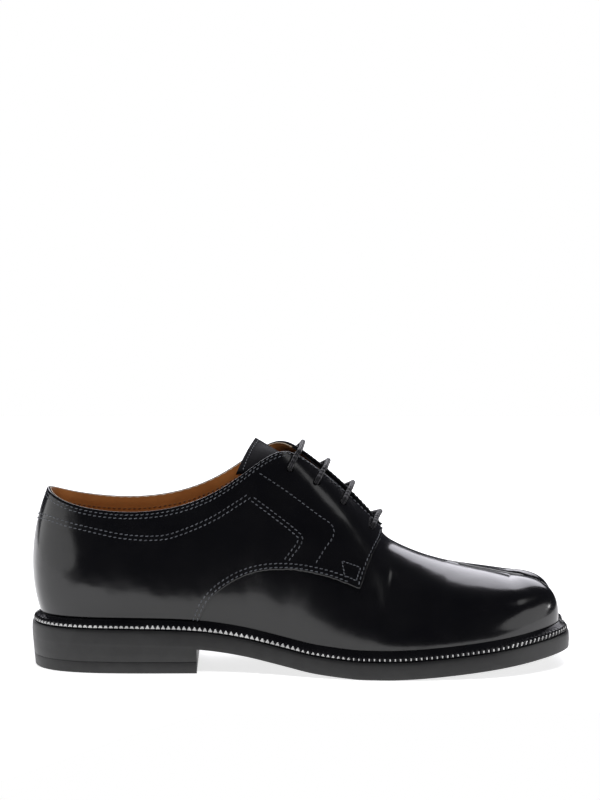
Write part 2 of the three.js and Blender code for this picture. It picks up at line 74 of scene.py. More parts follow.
def make_camera():
    data = bpy.data.cameras.new("camera")
    data.sensor_width = SENSOR
    data.lens = SENSOR * VIEW_DISTANCE / VIEW_HEIGHT
    data.clip_end = 50.0
    camera = add_object("camera", data)
    target = Vector(world(VIEW_TARGET))
    back = Vector((0.0, -math.cos(VIEW_ELEVATION), math.sin(VIEW_ELEVATION)))
    camera.location = target + back * VIEW_DISTANCE * MILLIMETRE
    camera.rotation_euler = (math.pi / 2 - VIEW_ELEVATION, 0.0, 0.0)
    bpy.context.scene.camera = camera


make_camera()

# The photo's scale on the view plane, to place seams and stitches where they are seen
PIXELS_PER_MM = 1.807
SEEN_LEFT = 31.0
SEEN_FLOOR = 662.1
SEEN_RISE = 0.983
SEEN_DEPTH = 0.182

# Driving sizes, the same as the part's
SHOE_LENGTH = 298.0
HALF_BALL = 52.5
INSTEP = 124.0
HEEL_LIFT = 15.0
TOE_SPRING = 10.1
SOLE_THICKNESS = 9.6
HEEL_LENGTH = 92.0
TOP_LIFT = 6.4
HEEL_TAPER = 1.5
WELT_WIDTH = 5.2
WELT_HEIGHT = 5.7
WELT_SETBACK = 0.9
NOTCH_DEPTH = 10.0
NOTCH_WIDTH = 7.0
NOTCH_TIP = 1.6
UPPER_WALL = 1.6
QUARTER_GAP = 0.4
QUARTER_WALL = 1.2
FACING_WALL = 2.2
CLEARANCE = 0.3
INSOLE_THICKNESS = 3.0
INSOLE_CLEARANCE = 0.8
LACE_DIAMETER = 2.8
EYELET_DIAMETER = 4.2
EYELET_INSET = 11.0
EYELETS = (0.486, 0.533, 0.578, 0.628)

# Height of the outsole's underside over the heel and arch, as a share of the heel lift
ARCH = (
    # (along, height)
    (0.000, 1.000),
    (0.200, 0.985),
    (0.310, 0.900),
    (0.389, 0.690),
    (0.476, 0.335),
    (0.520, 0.160),
    (0.567, 0.060),
    (0.605, 0.000),
)
FLAT_FROM = 0.605
FLAT_TO = 0.667
SPRING_POWER = 1.45

# Sections of the upper from the heel to the split
SIDE = np.array((
    # (along, lateral, medial, top, half, height, lean, rise, over, drop)
    (0.019, 0.000, 0.000, 0.034, 0.000, 0.796, 0.124, 0.153, 0.190, 0.190),
    (0.024, 0.171, 0.171, 0.039, 0.175, 0.786, 0.114, 0.153, 0.160, 0.195),
    (0.038, 0.312, 0.309, 0.054, 0.297, 0.768, 0.105, 0.153, 0.133, 0.202),
    (0.064, 0.427, 0.419, 0.076, 0.381, 0.749, 0.088, 0.153, 0.095, 0.194),
    (0.111, 0.510, 0.503, 0.116, 0.450, 0.729, 0.076, 0.145, 0.076, 0.185),
    (0.185, 0.541, 0.537, 0.185, 0.484, 0.715, 0.076, 0.145, 0.067, 0.177),
    (0.268, 0.537, 0.522, 0.268, 0.491, 0.736, 0.084, 0.161, 0.076, 0.194),
    (0.342, 0.530, 0.472, 0.342, 0.486, 0.803, 0.105, 0.194, 0.105, 0.210),
    (0.396, 0.550, 0.442, 0.396, 0.465, 0.890, 0.124, 0.226, 0.152, 0.226),
    (0.436, 0.590, 0.442, 0.433, 0.430, 0.953, 0.114, 0.250, 0.248, 0.210),
    (0.470, 0.634, 0.465, 0.463, 0.343, 0.981, 0.105, 0.274, 0.343, 0.145),
    (0.497, 0.678, 0.495, 0.490, 0.244, 0.958, 0.095, 0.290, 0.438, 0.081),
    (0.529, 0.730, 0.549, 0.527, 0.215, 0.892, 0.086, 0.298, 0.514, 0.069),
    (0.570, 0.796, 0.632, 0.570, 0.198, 0.803, 0.067, 0.274, 0.514, 0.065),
    (0.617, 0.851, 0.752, 0.614, 0.164, 0.694, 0.048, 0.234, 0.533, 0.056),
    (0.644, 0.870, 0.810, 0.644, 0.095, 0.613, 0.038, 0.210, 0.533, 0.032),
    (0.664, 0.876, 0.850, 0.663, 0.000, 0.559, 0.038, 0.194, 0.495, 0.000),
    (0.718, 0.874, 0.909, 0.718, 0.015, 0.497, 0.029, 0.161, 0.476, 0.000),
    (0.772, 0.848, 0.914, 0.772, 0.069, 0.455, 0.029, 0.153, 0.476, 0.000),
))
THROAT = 16
FORK = len(SIDE) - 1
ARCH_LEAN = 0.9
TURN_ROWS = 6

# Crest of each toe lobe beyond the fork
CREST = {
    "lateral": (
        # (along, across, height)
        (0.815, 0.060, 0.430),
        (0.859, 0.045, 0.413),
        (0.889, 0.010, 0.396),
    ),
    "medial": (
        (0.812, 0.238, 0.427),
        (0.852, 0.333, 0.408),
        (0.883, 0.371, 0.394),
    ),
}

# Sections round a toe lobe, out along its outer side and back along the cleft to the fork
LOBE = {
    "lateral": (
        # (along, across, crest, lean, rise, over)
        (0.820, -0.808, 1, 0.029, 0.145, 0.480),
        (0.866, -0.743, 2, 0.029, 0.137, 0.490),
        (0.906, -0.636, 3, 0.029, 0.129, 0.430),
        (0.940, -0.495, 3, 0.029, 0.125, 0.400),
        (0.966, -0.343, 3, 0.029, 0.137, 0.410),
        (0.981, -0.181, 3, 0.029, 0.141, 0.410),
        (0.979, -0.029, 3, 0.019, 0.137, 0.400),
        (0.968, 0.076, 3, 0.010, 0.140, 0.390),
        (0.951, 0.133, 3, 0.000, 0.165, 0.330),
        (0.913, 0.145, 3, 0.000, 0.200, 0.170),
        (0.866, 0.145, 2, 0.000, 0.215, 0.130),
        (0.826, 0.143, 1, 0.000, 0.226, 0.120),
        (0.805, 0.147, 0, 0.000, 0.222, 0.181),
        (0.800, 0.173, 0, 0.000, 0.226, 0.181),
    ),
    "medial": (
        (0.820, 0.884, 1, 0.029, 0.153, 0.400),
        (0.866, 0.834, 2, 0.029, 0.145, 0.324),
        (0.909, 0.762, 3, 0.029, 0.133, 0.276),
        (0.941, 0.686, 3, 0.029, 0.129, 0.295),
        (0.963, 0.590, 3, 0.029, 0.129, 0.324),
        (0.974, 0.476, 3, 0.029, 0.141, 0.381),
        (0.976, 0.358, 3, 0.019, 0.137, 0.381),
        (0.966, 0.261, 3, 0.010, 0.125, 0.352),
        (0.951, 0.217, 3, 0.000, 0.145, 0.333),
        (0.913, 0.206, 3, 0.000, 0.169, 0.210),
        (0.866, 0.204, 2, 0.000, 0.185, 0.152),
        (0.826, 0.204, 1, 0.000, 0.206, 0.076),
        (0.805, 0.200, 0, 0.000, 0.222, 0.152),
        (0.800, 0.173, 0, 0.000, 0.226, 0.181),
    ),
}
FRONT = {"lateral": 5.5, "medial": 6.0}
SIDES = ("lateral", "medial")
SIGN = {"lateral": -1.0, "medial": 1.0}
LAST = FORK + len(LOBE["lateral"])
SPLIT_CENTRE = LOBE["lateral"][-1][1] * HALF_BALL

# Tongue, from its top edge down to its end under the vamp
TONGUE = np.array((
    # (along, height, half, fall, skew, tilt)
    (0.399, 0.957, 0.385, 0.014, 0.018, 0.056),
    (0.450, 0.955, 0.355, 0.044, 0.006, 0.024),
    (0.493, 0.895, 0.380, 0.062, 0.000, 0.008),
    (0.537, 0.825, 0.360, 0.050, 0.000, 0.000),
    (0.582, 0.748, 0.340, 0.048, 0.000, 0.000),
    (0.627, 0.633, 0.285, 0.040, 0.000, 0.000),
    (0.661, 0.532, 0.228, 0.030, 0.000, 0.000),
    (0.690, 0.482, 0.200, 0.020, 0.000, 0.000),
))
TONGUE_THICKNESS = 2.2

# Edge of the quarter as the photo shows it, from the welt over the seam to the facing's corner
SEAM = (
    # (px, py)
    (197.0, 640.0),
    (199.5, 624.0),
    (206.0, 608.0),
    (214.0, 597.0),
    (225.0, 587.5),
    (242.5, 577.5),
    (260.5, 572.0),
    (280.0, 570.3),
    (298.0, 571.2),
    (313.5, 573.9),
    (331.0, 578.4),
    (347.0, 584.4),
    (358.3, 588.6),
    (360.6, 586.0),
    (366.6, 566.6),
    (373.7, 550.1),
    (380.0, 538.0),
    (382.4, 530.0),
    (381.6, 524.0),
)

# Stitch lines on the quarter
PANEL = (
    # (px, py)
    (36.0, 516.6),
    (52.0, 521.0),
    (68.0, 526.2),
    (92.0, 532.0),
    (117.3, 537.6),
    (139.6, 540.0),
    (155.5, 540.2),
    (171.5, 538.2),
    (195.4, 529.6),
    (216.1, 520.0),
    (233.6, 509.3),
    (252.7, 497.0),
)
PANEL_DOWN = (
    (253.5, 497.4),
    (275.0, 513.5),
    (296.0, 530.0),
    (302.5, 537.5),
    (300.5, 545.4),
    (294.0, 554.0),
    (287.5, 562.5),
)
FACING_LINE = (
    (259.2, 473.4),
    (288.7, 493.4),
    (318.2, 515.9),
    (328.8, 523.5),
    (333.0, 530.0),
    (331.8, 538.3),
    (325.3, 547.7),
    (315.5, 563.5),
)
TACK_BOX = (
    (341.5, 561.0),
    (359.5, 567.5),
    (355.5, 580.5),
    (344.0, 575.0),
)


# Smooth value between the rows of a table at a row number, ends held
def row_at(table, at):
    last = len(table) - 1
    k = min(max(int(math.floor(at)), 0), last - 1)
    f = min(max(at - k, 0.0), 1.0)
    p0, p1, p2, p3 = (np.asarray(table[min(max(i, 0), last)], float) for i in range(k - 1, k + 3))
    bend = 2 * p0 - 5 * p1 + 4 * p2 - p3
    turn = 3 * p1 - p0 - 3 * p2 + p3
    return 0.5 * (2 * p1 + (p2 - p0) * f + bend * f * f + turn * f ** 3)


# Value of a table's second column where its first column has a given value
def value_at(table, x):
    last = len(table) - 1
    k = 0
    while k < last - 1 and table[k + 1][0] < x:
        k += 1

    def slope(i):
        a = table[max(i - 1, 0)]
        b = table[min(i + 1, last)]
        return (b[1] - a[1]) / (b[0] - a[0])

    width = table[k + 1][0] - table[k][0]
    c = min(max((x - table[k][0]) / width, 0.0), 1.0)
    v0, v1 = table[k][1], table[k + 1][1]
    m0, m1 = slope(k) * width, slope(k + 1) * width
    return ((2 * c ** 3 - 3 * c ** 2 + 1) * v0 + (c ** 3 - 2 * c ** 2 + c) * m0
            + (3 * c ** 2 - 2 * c ** 3) * v1 + (c ** 3 - c ** 2) * m1)


def sole_bottom(x):
    along = x / SHOE_LENGTH
    if along < FLAT_FROM:
        return HEEL_LIFT * value_at(ARCH, along)
    if along < FLAT_TO:
        return 0.0
    return TOE_SPRING * ((along - FLAT_TO) / (1 - FLAT_TO)) ** SPRING_POWER


def sole_top(x):
    return sole_bottom(x) + SOLE_THICKNESS


def smoothstep(v, low, high):
    t = np.clip((v - low) / (high - low), 0.0, 1.0)
    return t * t * (3 - 2 * t)


# Points at even spacing along a smooth curve through the given ones
CURVE_STEPS = 12


def curve_through(points, spacing):
    points = np.asarray(points, float)
    dense = []
    for i in range(len(points) - 1):
        for f in np.linspace(0.0, 1.0, CURVE_STEPS, endpoint=False):
            dense.append(row_at(points, i + f))
    dense.append(points[-1])
    return even(np.array(dense), spacing)


# Length run along a line up to each of its points
def run_lengths(points):
    return np.concatenate(([0.0], np.cumsum(np.linalg.norm(np.diff(points, axis=0), axis=1))))


# Points of a line at wanted places of a rising scale
def read_off(wanted, scale, points):
    return np.stack([np.interp(wanted, scale, column) for column in points.T], axis=1)


def even(points, spacing):
    lengths = run_lengths(points)
    count = max(int(round(lengths[-1] / spacing)), 1)
    return read_off(np.linspace(0.0, lengths[-1], count + 1), lengths, points)


# Each pass draws the inner points of a line towards their neighbours
def smooth_line(path, passes):
    for _ in range(passes):
        path[1:-1] = 0.25 * path[:-2] + 0.5 * path[1:-1] + 0.25 * path[2:]
    return path


# The skin of the last: sections in one ring from the heel round the inner side, the toes, the
# cleft and back along the outer side, smoothed so that reflections run without kinks.
ROW_STEPS = 10
LEVELS = 44
SMOOTHING = 14
TOP_SMOOTHING = 36


def top_at(side, at):
    if at <= THROAT:
        row = row_at(SIDE[:THROAT + 1], at)
        return np.array([row[3], SIGN[side] * row[4], row[5]])
    ridge = tuple(tuple(row[3:6]) for row in SIDE[THROAT:])
    return row_at(ridge + CREST[side], at - THROAT)


# All sections of one side in one table: (along, across, lean, rise, over, drop)
def section_table(side):
    own = 1 if side == "lateral" else 2
    rows = []
    for row in SIDE:
        lean = row[6]
        if side == "medial":
            lean += ARCH_LEAN * max(0.0, row[1] - row[2])
        rows.append((row[0], SIGN[side] * row[own], lean, row[7], row[8], row[9]))
    for along, across, _, lean, rise, over in LOBE[side]:
        rows.append((along, across, lean, rise, over, 0.0))
    return rows


def row_of(side, at):
    row = row_at(section_table(side), at)
    number = min(at, FORK)
    if at > FORK:
        crests = (0,) + tuple(lobe[2] for lobe in LOBE[side])
        number = FORK + float(np.interp(at - FORK, np.arange(len(crests)), crests))
    return [*row, number]


def smooth_ring(values, passes):
    for _ in range(passes):
        values = 0.25 * np.roll(values, 1, axis=0) + 0.5 * values + 0.25 * np.roll(values, -1, axis=0)
    return values


STATIONS = np.arange(0, LAST * ROW_STEPS + 1) / ROW_STEPS
COUNT = len(STATIONS)


# Tops by their own number, smoothed, with one ridge for both sides between throat and fork
def make_tops():
    numbers = np.arange(0, (FORK + 3) * ROW_STEPS + 1) / ROW_STEPS
    lines = {side: np.array([top_at(side, n) for n in numbers]) for side in SIDES}
    shared = slice(THROAT * ROW_STEPS, FORK * ROW_STEPS + 1)
    for _ in range(TOP_SMOOTHING):
        for line in lines.values():
            smooth_line(line, 1)
        ridge = (lines["lateral"][shared] + lines["medial"][shared]) / 2
        for line in lines.values():
            line[shared] = ridge
    return {side: line * (SHOE_LENGTH, HALF_BALL, INSTEP) for side, line in lines.items()}


def make_last():
    tops = make_tops()
    rows = {side: np.array([row_of(side, at) for at in STATIONS]) for side in SIDES}
    ring = np.concatenate((rows["medial"], rows["lateral"][-2:0:-1]))
    ring[:, :6] = smooth_ring(ring[:, :6], SMOOTHING)
    foot = np.stack((ring[:, 0] * SHOE_LENGTH, ring[:, 1] * HALF_BALL), axis=1)
    tangent = unit(np.roll(foot, -1, axis=0) - np.roll(foot, 1, axis=0))
    out = np.stack((-tangent[:, 1], tangent[:, 0]), axis=1)
    total = len(ring)
    skin = {}
    for side in SIDES:
        index = np.arange(COUNT) if side == "medial" else (-np.arange(COUNT)) % total
        picked = ring[index]
        base = np.zeros((COUNT, 3))
        base[:, :2] = foot[index]
        base[:, 2] = [sole_top(x) + WELT_HEIGHT for x in base[:, 0]]
        away = np.zeros((COUNT, 3))
        away[:, :2] = out[index]
        number = np.clip(picked[:, 6] * ROW_STEPS, 0, len(tops[side]) - 1)
        low = np.floor(number).astype(int)
        high = np.minimum(low + 1, len(tops[side]) - 1)
        part = (number - low)[:, None]
        end = tops[side][low] * (1 - part) + tops[side][high] * part
        up = np.array([0.0, 0.0, 1.0])
        lead = base + away * picked[:, 2:3] * HALF_BALL + up * picked[:, 3:4] * INSTEP
        to_foot = base - end
        to_foot[:, 2] = 0
        blend = smoothstep(STATIONS, THROAT - TURN_ROWS, THROAT)[:, None]
        across = unit(away * (1 - blend) + unit(to_foot) * blend)
        follow = end + across * picked[:, 4:5] * HALF_BALL - up * picked[:, 5:6] * INSTEP
        skin[side] = {
            "controls": np.stack((base, lead, follow, end), axis=1),
            "out": away,
            "top": picked[:, 6],
        }
    return skin


SKIN = make_last()


# Point at a level of the curve that four control points span
def span(controls, level):
    u = 1 - level
    return (controls[..., 0, :] * u ** 3 + controls[..., 1, :] * 3 * u * u * level
            + controls[..., 2, :] * 3 * u * level * level + controls[..., 3, :] * level ** 3)


# Points of one side's skin and the directions out of it, station by level
def side_grid(side):
    levels = np.linspace(0.0, 1.0, LEVELS + 1)
    controls = SKIN[side]["controls"]
    points = np.stack([span(controls, level) for level in levels], axis=1)
    along = np.gradient(points, axis=0)
    up = np.gradient(points, axis=1)
    normals = np.cross(along, up)
    if side == "medial":
        normals = -normals
    normals /= np.maximum(np.linalg.norm(normals, axis=2), 1e-9)[..., None]
    return points, normals


GRID = {side: side_grid(side) for side in SIDES}


# Value inside one cell of a grid, at parts f and g of the way across it
def in_cell(values, a, b, f, g):
    return ((1 - f) * (1 - g) * values[a, b] + f * (1 - g) * values[a + 1, b]
            + (1 - f) * g * values[a, b + 1] + f * g * values[a + 1, b + 1])


# Point and direction of the skin at a fractional station and level
def skin_at(side, station, level):
    points, normals = GRID[side]
    i = min(max(station, 0.0), COUNT - 1.001)
    j = min(max(level * LEVELS, 0.0), LEVELS - 0.001)
    cell = (int(i), int(j), i - int(i), j - int(j))
    return in_cell(points, *cell), unit(in_cell(normals, *cell))


# Side view as the photo shows it, the inner side seen from its own side
def seen(side, points):
    depth = points[..., 1] * (-SIGN[side])
    return np.stack((points[..., 0], SEEN_RISE * points[..., 2] + SEEN_DEPTH * depth), axis=-1)


def from_photo(px, py):
    return np.array([(px - SEEN_LEFT) / PIXELS_PER_MM, (SEEN_FLOOR - py) / PIXELS_PER_MM])


SEEN = {side: seen(side, GRID[side][0] + GRID[side][1] * (QUARTER_GAP + QUARTER_WALL))
        for side in SIDES}
SEARCH_TO = FORK * ROW_STEPS


# Station and level of the skin that is seen at a point of the side view
def find(side, target):
    view = SEEN[side][:SEARCH_TO]
    gap = np.sum((view - target) ** 2, axis=2)
    i, j = np.unravel_index(np.argmin(gap), gap.shape)
    i = float(min(max(i, 1), SEARCH_TO - 2))
    j = float(min(max(j, 1), LEVELS - 1))
    for _ in range(6):
        a = int(min(max(i, 0), SEARCH_TO - 2))
        b = int(min(max(j, 0), LEVELS - 1))
        f, g = i - a, j - b
        here = in_cell(view, a, b, f, g)
        di = (1 - g) * (view[a + 1, b] - view[a, b]) + g * (view[a + 1, b + 1] - view[a, b + 1])
        dj = (1 - f) * (view[a, b + 1] - view[a, b]) + f * (view[a + 1, b + 1] - view[a + 1, b])
        step = np.linalg.lstsq(np.stack((di, dj), axis=1), target - here, rcond=None)[0]
        i = min(max(i + float(np.clip(step[0], -4, 4)), 0.0), SEARCH_TO - 1.001)
        j = min(max(j + float(np.clip(step[1], -4, 4)), 0.0), LEVELS - 0.001)
    return i, j / LEVELS


# Materials
def node(tree, kind, **values):
    made = tree.nodes.new(kind)
    for name, value in values.items():
        if name in made.inputs:
            made.inputs[name].default_value = value
        else:
            setattr(made, name, value)
    return made


def new_material(name, color, roughness, **sockets):
    material = bpy.data.materials.new(name)
    material.use_nodes = True
    tree = material.node_tree
    shader = tree.nodes["Principled BSDF"]
    shader.inputs["Base Color"].default_value = (*color, 1.0)
    shader.inputs["Roughness"].default_value = roughness
    for socket, value in sockets.items():
        shader.inputs[socket.replace("_", " ")].default_value = value
    place = node(tree, "ShaderNodeTexCoord")
    return material, tree, shader, place.outputs["Object"]


def add_noise(tree, place, scale, detail):
    texture = node(tree, "ShaderNodeTexNoise", Scale=scale, Detail=detail)
    tree.links.new(place, texture.inputs["Vector"])
    return texture.outputs["Fac"]


def add_ramp(tree, factor, target, *stops):
    ramp = node(tree, "ShaderNodeValToRGB")
    for element, (position, color) in zip(ramp.color_ramp.elements, stops):
        element.position = position
        element.color = (*color, 1.0)
    tree.links.new(factor, ramp.inputs["Fac"])
    tree.links.new(ramp.outputs["Color"], target)


def add_bump(tree, shader, place, layers):
    normal = None
    for kind, scale, detail, distance in layers:
        if kind == "noise":
            height = add_noise(tree, place, scale, detail)
        else:
            texture = node(tree, "ShaderNodeTexVoronoi", Scale=scale)
            tree.links.new(place, texture.inputs["Vector"])
            height = texture.outputs["Distance"]
        bump = node(tree, "ShaderNodeBump", Strength=1.0, Distance=distance)
        tree.links.new(height, bump.inputs["Height"])
        if normal:
            tree.links.new(normal, bump.inputs["Normal"])
        normal = bump.outputs["Normal"]
    tree.links.new(normal, shader.inputs["Normal"])


def vary(tree, place, target, scale, low, high):
    spread = node(tree, "ShaderNodeMapRange", **{"To Min": low, "To Max": high})
    tree.links.new(add_noise(tree, place, scale, 4.0), spread.inputs["Value"])
    tree.links.new(spread.outputs["Result"], target)


def vary_color(tree, place, target, scale, dark, light):
    add_ramp(tree, add_noise(tree, place, scale, 5.0), target, (0.3, dark), (0.7, light))


def polished_leather(name, wobble):
    material, tree, shader, place = new_material(
        name, (0.0035, 0.0036, 0.0045), 0.2, Coat_Weight=0.3, Coat_Roughness=0.09,
        Specular_IOR_Level=0.5)
    vary_color(tree, place, shader.inputs["Base Color"], 60.0, (0.0025, 0.0026, 0.0034),
               (0.0048, 0.0048, 0.0055))
    vary(tree, place, shader.inputs["Roughness"], 45.0, 0.14, 0.24)
    add_bump(tree, shader, place, (
        ("noise", 38.0, 2.0, wobble),
        ("noise", 420.0, 3.0, 0.00002),
        ("cells", 1500.0, 0.0, 0.000008),
    ))
    return material


def plain_leather(name, dark, light, roughness, grain, scale, specular=0.35):
    material, tree, shader, place = new_material(name, light, roughness, Specular_IOR_Level=specular)
    vary_color(tree, place, shader.inputs["Base Color"], 55.0, dark, light)
    vary(tree, place, shader.inputs["Roughness"], 90.0, roughness - 0.08, roughness + 0.08)
    add_bump(tree, shader, place, (
        ("noise", scale, 4.0, grain),
        ("cells", scale * 1.6, 0.0, grain * 0.6),
    ))
    return material


def thread(name, dark, light):
    material, tree, shader, place = new_material(name, light, 0.55, Sheen_Weight=0.2)
    vary_color(tree, place, shader.inputs["Base Color"], 900.0, dark, light)
    add_bump(tree, shader, place, (("noise", 2600.0, 2.0, 0.00008),))
    return material


def sole_rubber(name, dark, light, roughness):
    material, tree, shader, place = new_material(name, light, roughness)
    vary_color(tree, place, shader.inputs["Base Color"], 130.0, dark, light)
    vary(tree, place, shader.inputs["Roughness"], 160.0, roughness - 0.06, roughness + 0.08)
    add_bump(tree, shader, place, (
        ("noise", 240.0, 3.0, 0.00006),
        ("noise", 1900.0, 3.0, 0.00004),
    ))
    return material


# Braid from waves that wind both ways round the cord, by the cord's own map
BRAID_WAVES = 4.0


def braided_cord(name):
    material, tree, shader, _ = new_material(
        name, (0.012, 0.012, 0.014), 0.58, Sheen_Weight=0.15, Sheen_Roughness=0.4)

    def calculate(operation, *values):
        made = node(tree, "ShaderNodeMath", operation=operation)
        for socket, value in zip(made.inputs, values):
            if isinstance(value, float):
                socket.default_value = value
            else:
                tree.links.new(value, socket)
        return made.outputs[0]

    split = node(tree, "ShaderNodeSeparateXYZ")
    tree.links.new(node(tree, "ShaderNodeTexCoord").outputs["UV"], split.inputs[0])
    waves = []
    for direction in (1.0, -1.0):
        turned_round = calculate("MULTIPLY", split.outputs["Y"], direction * BRAID_WAVES)
        total = calculate("ADD", split.outputs["X"], turned_round)
        waves.append(calculate("SINE", calculate("MULTIPLY", total, 2 * math.pi)))
    product = calculate("MULTIPLY", *waves)
    # The colour follows the braid's height, darker in its grooves and lighter on its ridges: painted shade
    # and highlight
    add_ramp(tree, product, shader.inputs["Base Color"],
             (0.2, (0.006, 0.006, 0.008)), (0.85, (0.07, 0.066, 0.075)))
    bump = node(tree, "ShaderNodeBump", Strength=1.0, Distance=0.0004)
    tree.links.new(product, bump.inputs["Height"])
    tree.links.new(bump.outputs["Normal"], shader.inputs["Normal"])
    return material


# Dark and light colour, roughness, grain, scale and specular level of leather that hardly shines
DULL_BLACK = ((0.002, 0.002, 0.0025), (0.004, 0.004, 0.005), 0.55, 0.00006, 700.0, 0.02)
BLACK = polished_leather("polished_leather", 0.0006)
QUARTER_BLACK = polished_leather("quarter_leather", 0.0009)
# Pale grey piping: a painted highlight that stands in for the light line along the split's rims
PIPING_HIGHLIGHT = plain_leather("piping_painted_highlight", (0.30, 0.30, 0.31), (0.45, 0.45, 0.46), 0.3, 0.00002, 900.0, 0.5)
# Dull black that hardly reflects, on the split and the inner lobe's strip beside it: painted shade that
# stands in for the dark slot
SPLIT_PAINTED_SHADE = plain_leather("split_painted_shade", *DULL_BLACK)
# Pale grey on the welt's teeth: a painted highlight for the light the black teeth catch
TOOTH_GLINT = plain_leather("welt_tooth_glint", (0.45, 0.45, 0.45), (0.80, 0.80, 0.79), 0.35, 0.00003, 1500.0)
TONGUE_LEATHER = plain_leather("tongue_leather", *DULL_BLACK)
LINING = plain_leather("lining_leather", (0.34, 0.125, 0.034), (0.46, 0.18, 0.05), 0.6, 0.00008, 620.0)
EDGE = plain_leather("raw_edge", (0.42, 0.33, 0.24), (0.62, 0.52, 0.40), 0.75, 0.0001, 1200.0)
PAINTED = plain_leather("painted_edge", (0.006, 0.006, 0.007), (0.012, 0.012, 0.014), 0.4, 0.00008, 900.0)
WELT_LEATHER = plain_leather("welt_leather", (0.003, 0.003, 0.004), (0.007, 0.007, 0.008),
                             0.26, 0.00006, 800.0)
THREAD = thread("black_thread", (0.05, 0.055, 0.065), (0.17, 0.18, 0.205))
LINING_THREAD = thread("lining_thread", (0.10, 0.04, 0.015), (0.22, 0.10, 0.04))
SOLE_RUBBER = sole_rubber("sole_rubber", (0.012, 0.012, 0.0125), (0.018, 0.018, 0.0185), 0.44)
LIFT_RUBBER = sole_rubber("lift_rubber", (0.011, 0.011, 0.0115), (0.017, 0.017, 0.0175), 0.48)
CORD = braided_cord("braided_cord")


# Mesh from points in the shoe's millimetres
def new_object(name, points, faces, materials, picked=None, weld=True):
    mesh = bpy.data.meshes.new(name)
    mesh.from_pydata(world(points).tolist(), [], [tuple(int(i) for i in face) for face in faces])
    for material in materials:
        mesh.materials.append(material)
    if picked is not None:
        mesh.polygons.foreach_set("material_index", np.asarray(picked, dtype=np.int32))
    if weld:
        work = bmesh.new()
        work.from_mesh(mesh)
        bmesh.ops.remove_doubles(work, verts=work.verts, dist=0.00001)
        work.to_mesh(mesh)
        work.free()
    mesh.polygons.foreach_set("use_smooth", np.ones(len(mesh.polygons), dtype=bool))
    return add_object(name, mesh)


def finish_piece(piece, slot, *nodes):
    if nodes:
        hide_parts(*nodes)
    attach(piece, "root")
    return piece


def grid_faces(rows, columns, flip, start=0):
    faces = []
    for i in range(rows - 1):
        for j in range(columns - 1):
            a = start + i * columns + j
            b = a + columns
            face = (a, b, b + 1, a + 1)
            faces.append(face[::-1] if flip else face)
    return faces


# Faces between rings of points, each ring closed on itself
def ring_faces(rings, size, start=0):
    faces = []
    for i in range(rings - 1):
        for k in range(size):
            a = start + i * size + k
            b = start + i * size + (k + 1) % size
            faces.append((a, b, b + size, a + size))
    return faces


# The same faces on a second layer of points, looking the other way
def turned(faces, count):
    return [tuple(k + count for k in face[::-1]) for face in faces]


# Faces between a line of points and its copy on the second layer
def strip(line, count, flip=False):
    faces = [(a, b, b + count, a + count) for a, b in zip(line[:-1], line[1:])]
    return [face[::-1] for face in faces] if flip else faces


# Angles in degrees from which an edge stays sharp
UPPER_SHARP = 38
SOLE_SHARP = 40
WELT_SHARP = 28


def fix_normals(piece, sharp=None):
    work = bmesh.new()
    work.from_mesh(piece.data)
    bmesh.ops.recalc_face_normals(work, faces=work.faces)
    work.to_mesh(piece.data)
    work.free()
    if sharp is not None:
        piece.data.set_sharp_from_angle(angle=math.radians(sharp))


# Walls of the upper, and where along the shoe its materials change
RIM_WALL = 0.45
RIM_DEPTH = 3.0
RAW_EDGE_TO = 144.0
DARK_INSIDE_FROM = 215.0
# Where the split's painted shade starts along the shoe, and the band across the shoe that it covers
SPLIT_SHADE_FROM = 237.0
SPLIT_SHADE_STRIP = (5.0, 16.5)
CLEFT_WALL = 0.25
CLEFT_START = (222.0, 232.0)
CLEFT_REACH = (5.0, 11.0)
CREASED = (150.0, 230.0)

# Soft creases of the leather: a trough with a low ridge on each side
CREASES = (
    # (width, depth, ((px, py), ...))
    (4.0, 0.26, ((338, 601), (346, 596), (356, 592), (366, 586), (374, 577))),
    (3.4, 0.20, ((343, 611), (352, 605), (362, 601), (372, 592), (382, 580))),
    (5.5, 0.22, ((352, 622), (364, 615), (376, 607), (384, 600))),
    (2.6, 0.16, ((335, 592), (343, 590), (352, 589))),
)


CREASE_RIDGE = 0.45
RIDGE_PLACE = 1.9


def crease_depth(side, points):
    total = np.zeros(len(points))
    view = seen(side, points)
    for width, depth, line in CREASES:
        path = curve_through([from_photo(*p) for p in line], 1.5)
        ends = np.linspace(0.0, 1.0, len(path))
        fade = smoothstep(ends, 0.0, 0.25) * smoothstep(1 - ends, 0.1, 0.6)
        gap = np.linalg.norm(view[:, None, :] - path[None, :, :], axis=2)
        nearest = np.argmin(gap, axis=1)
        near = gap[np.arange(len(points)), nearest] / width
        shape = -np.exp(-near ** 2) + CREASE_RIDGE * np.exp(-(near - RIDGE_PLACE) ** 2)
        total += depth * shape * fade[nearest]
    return total


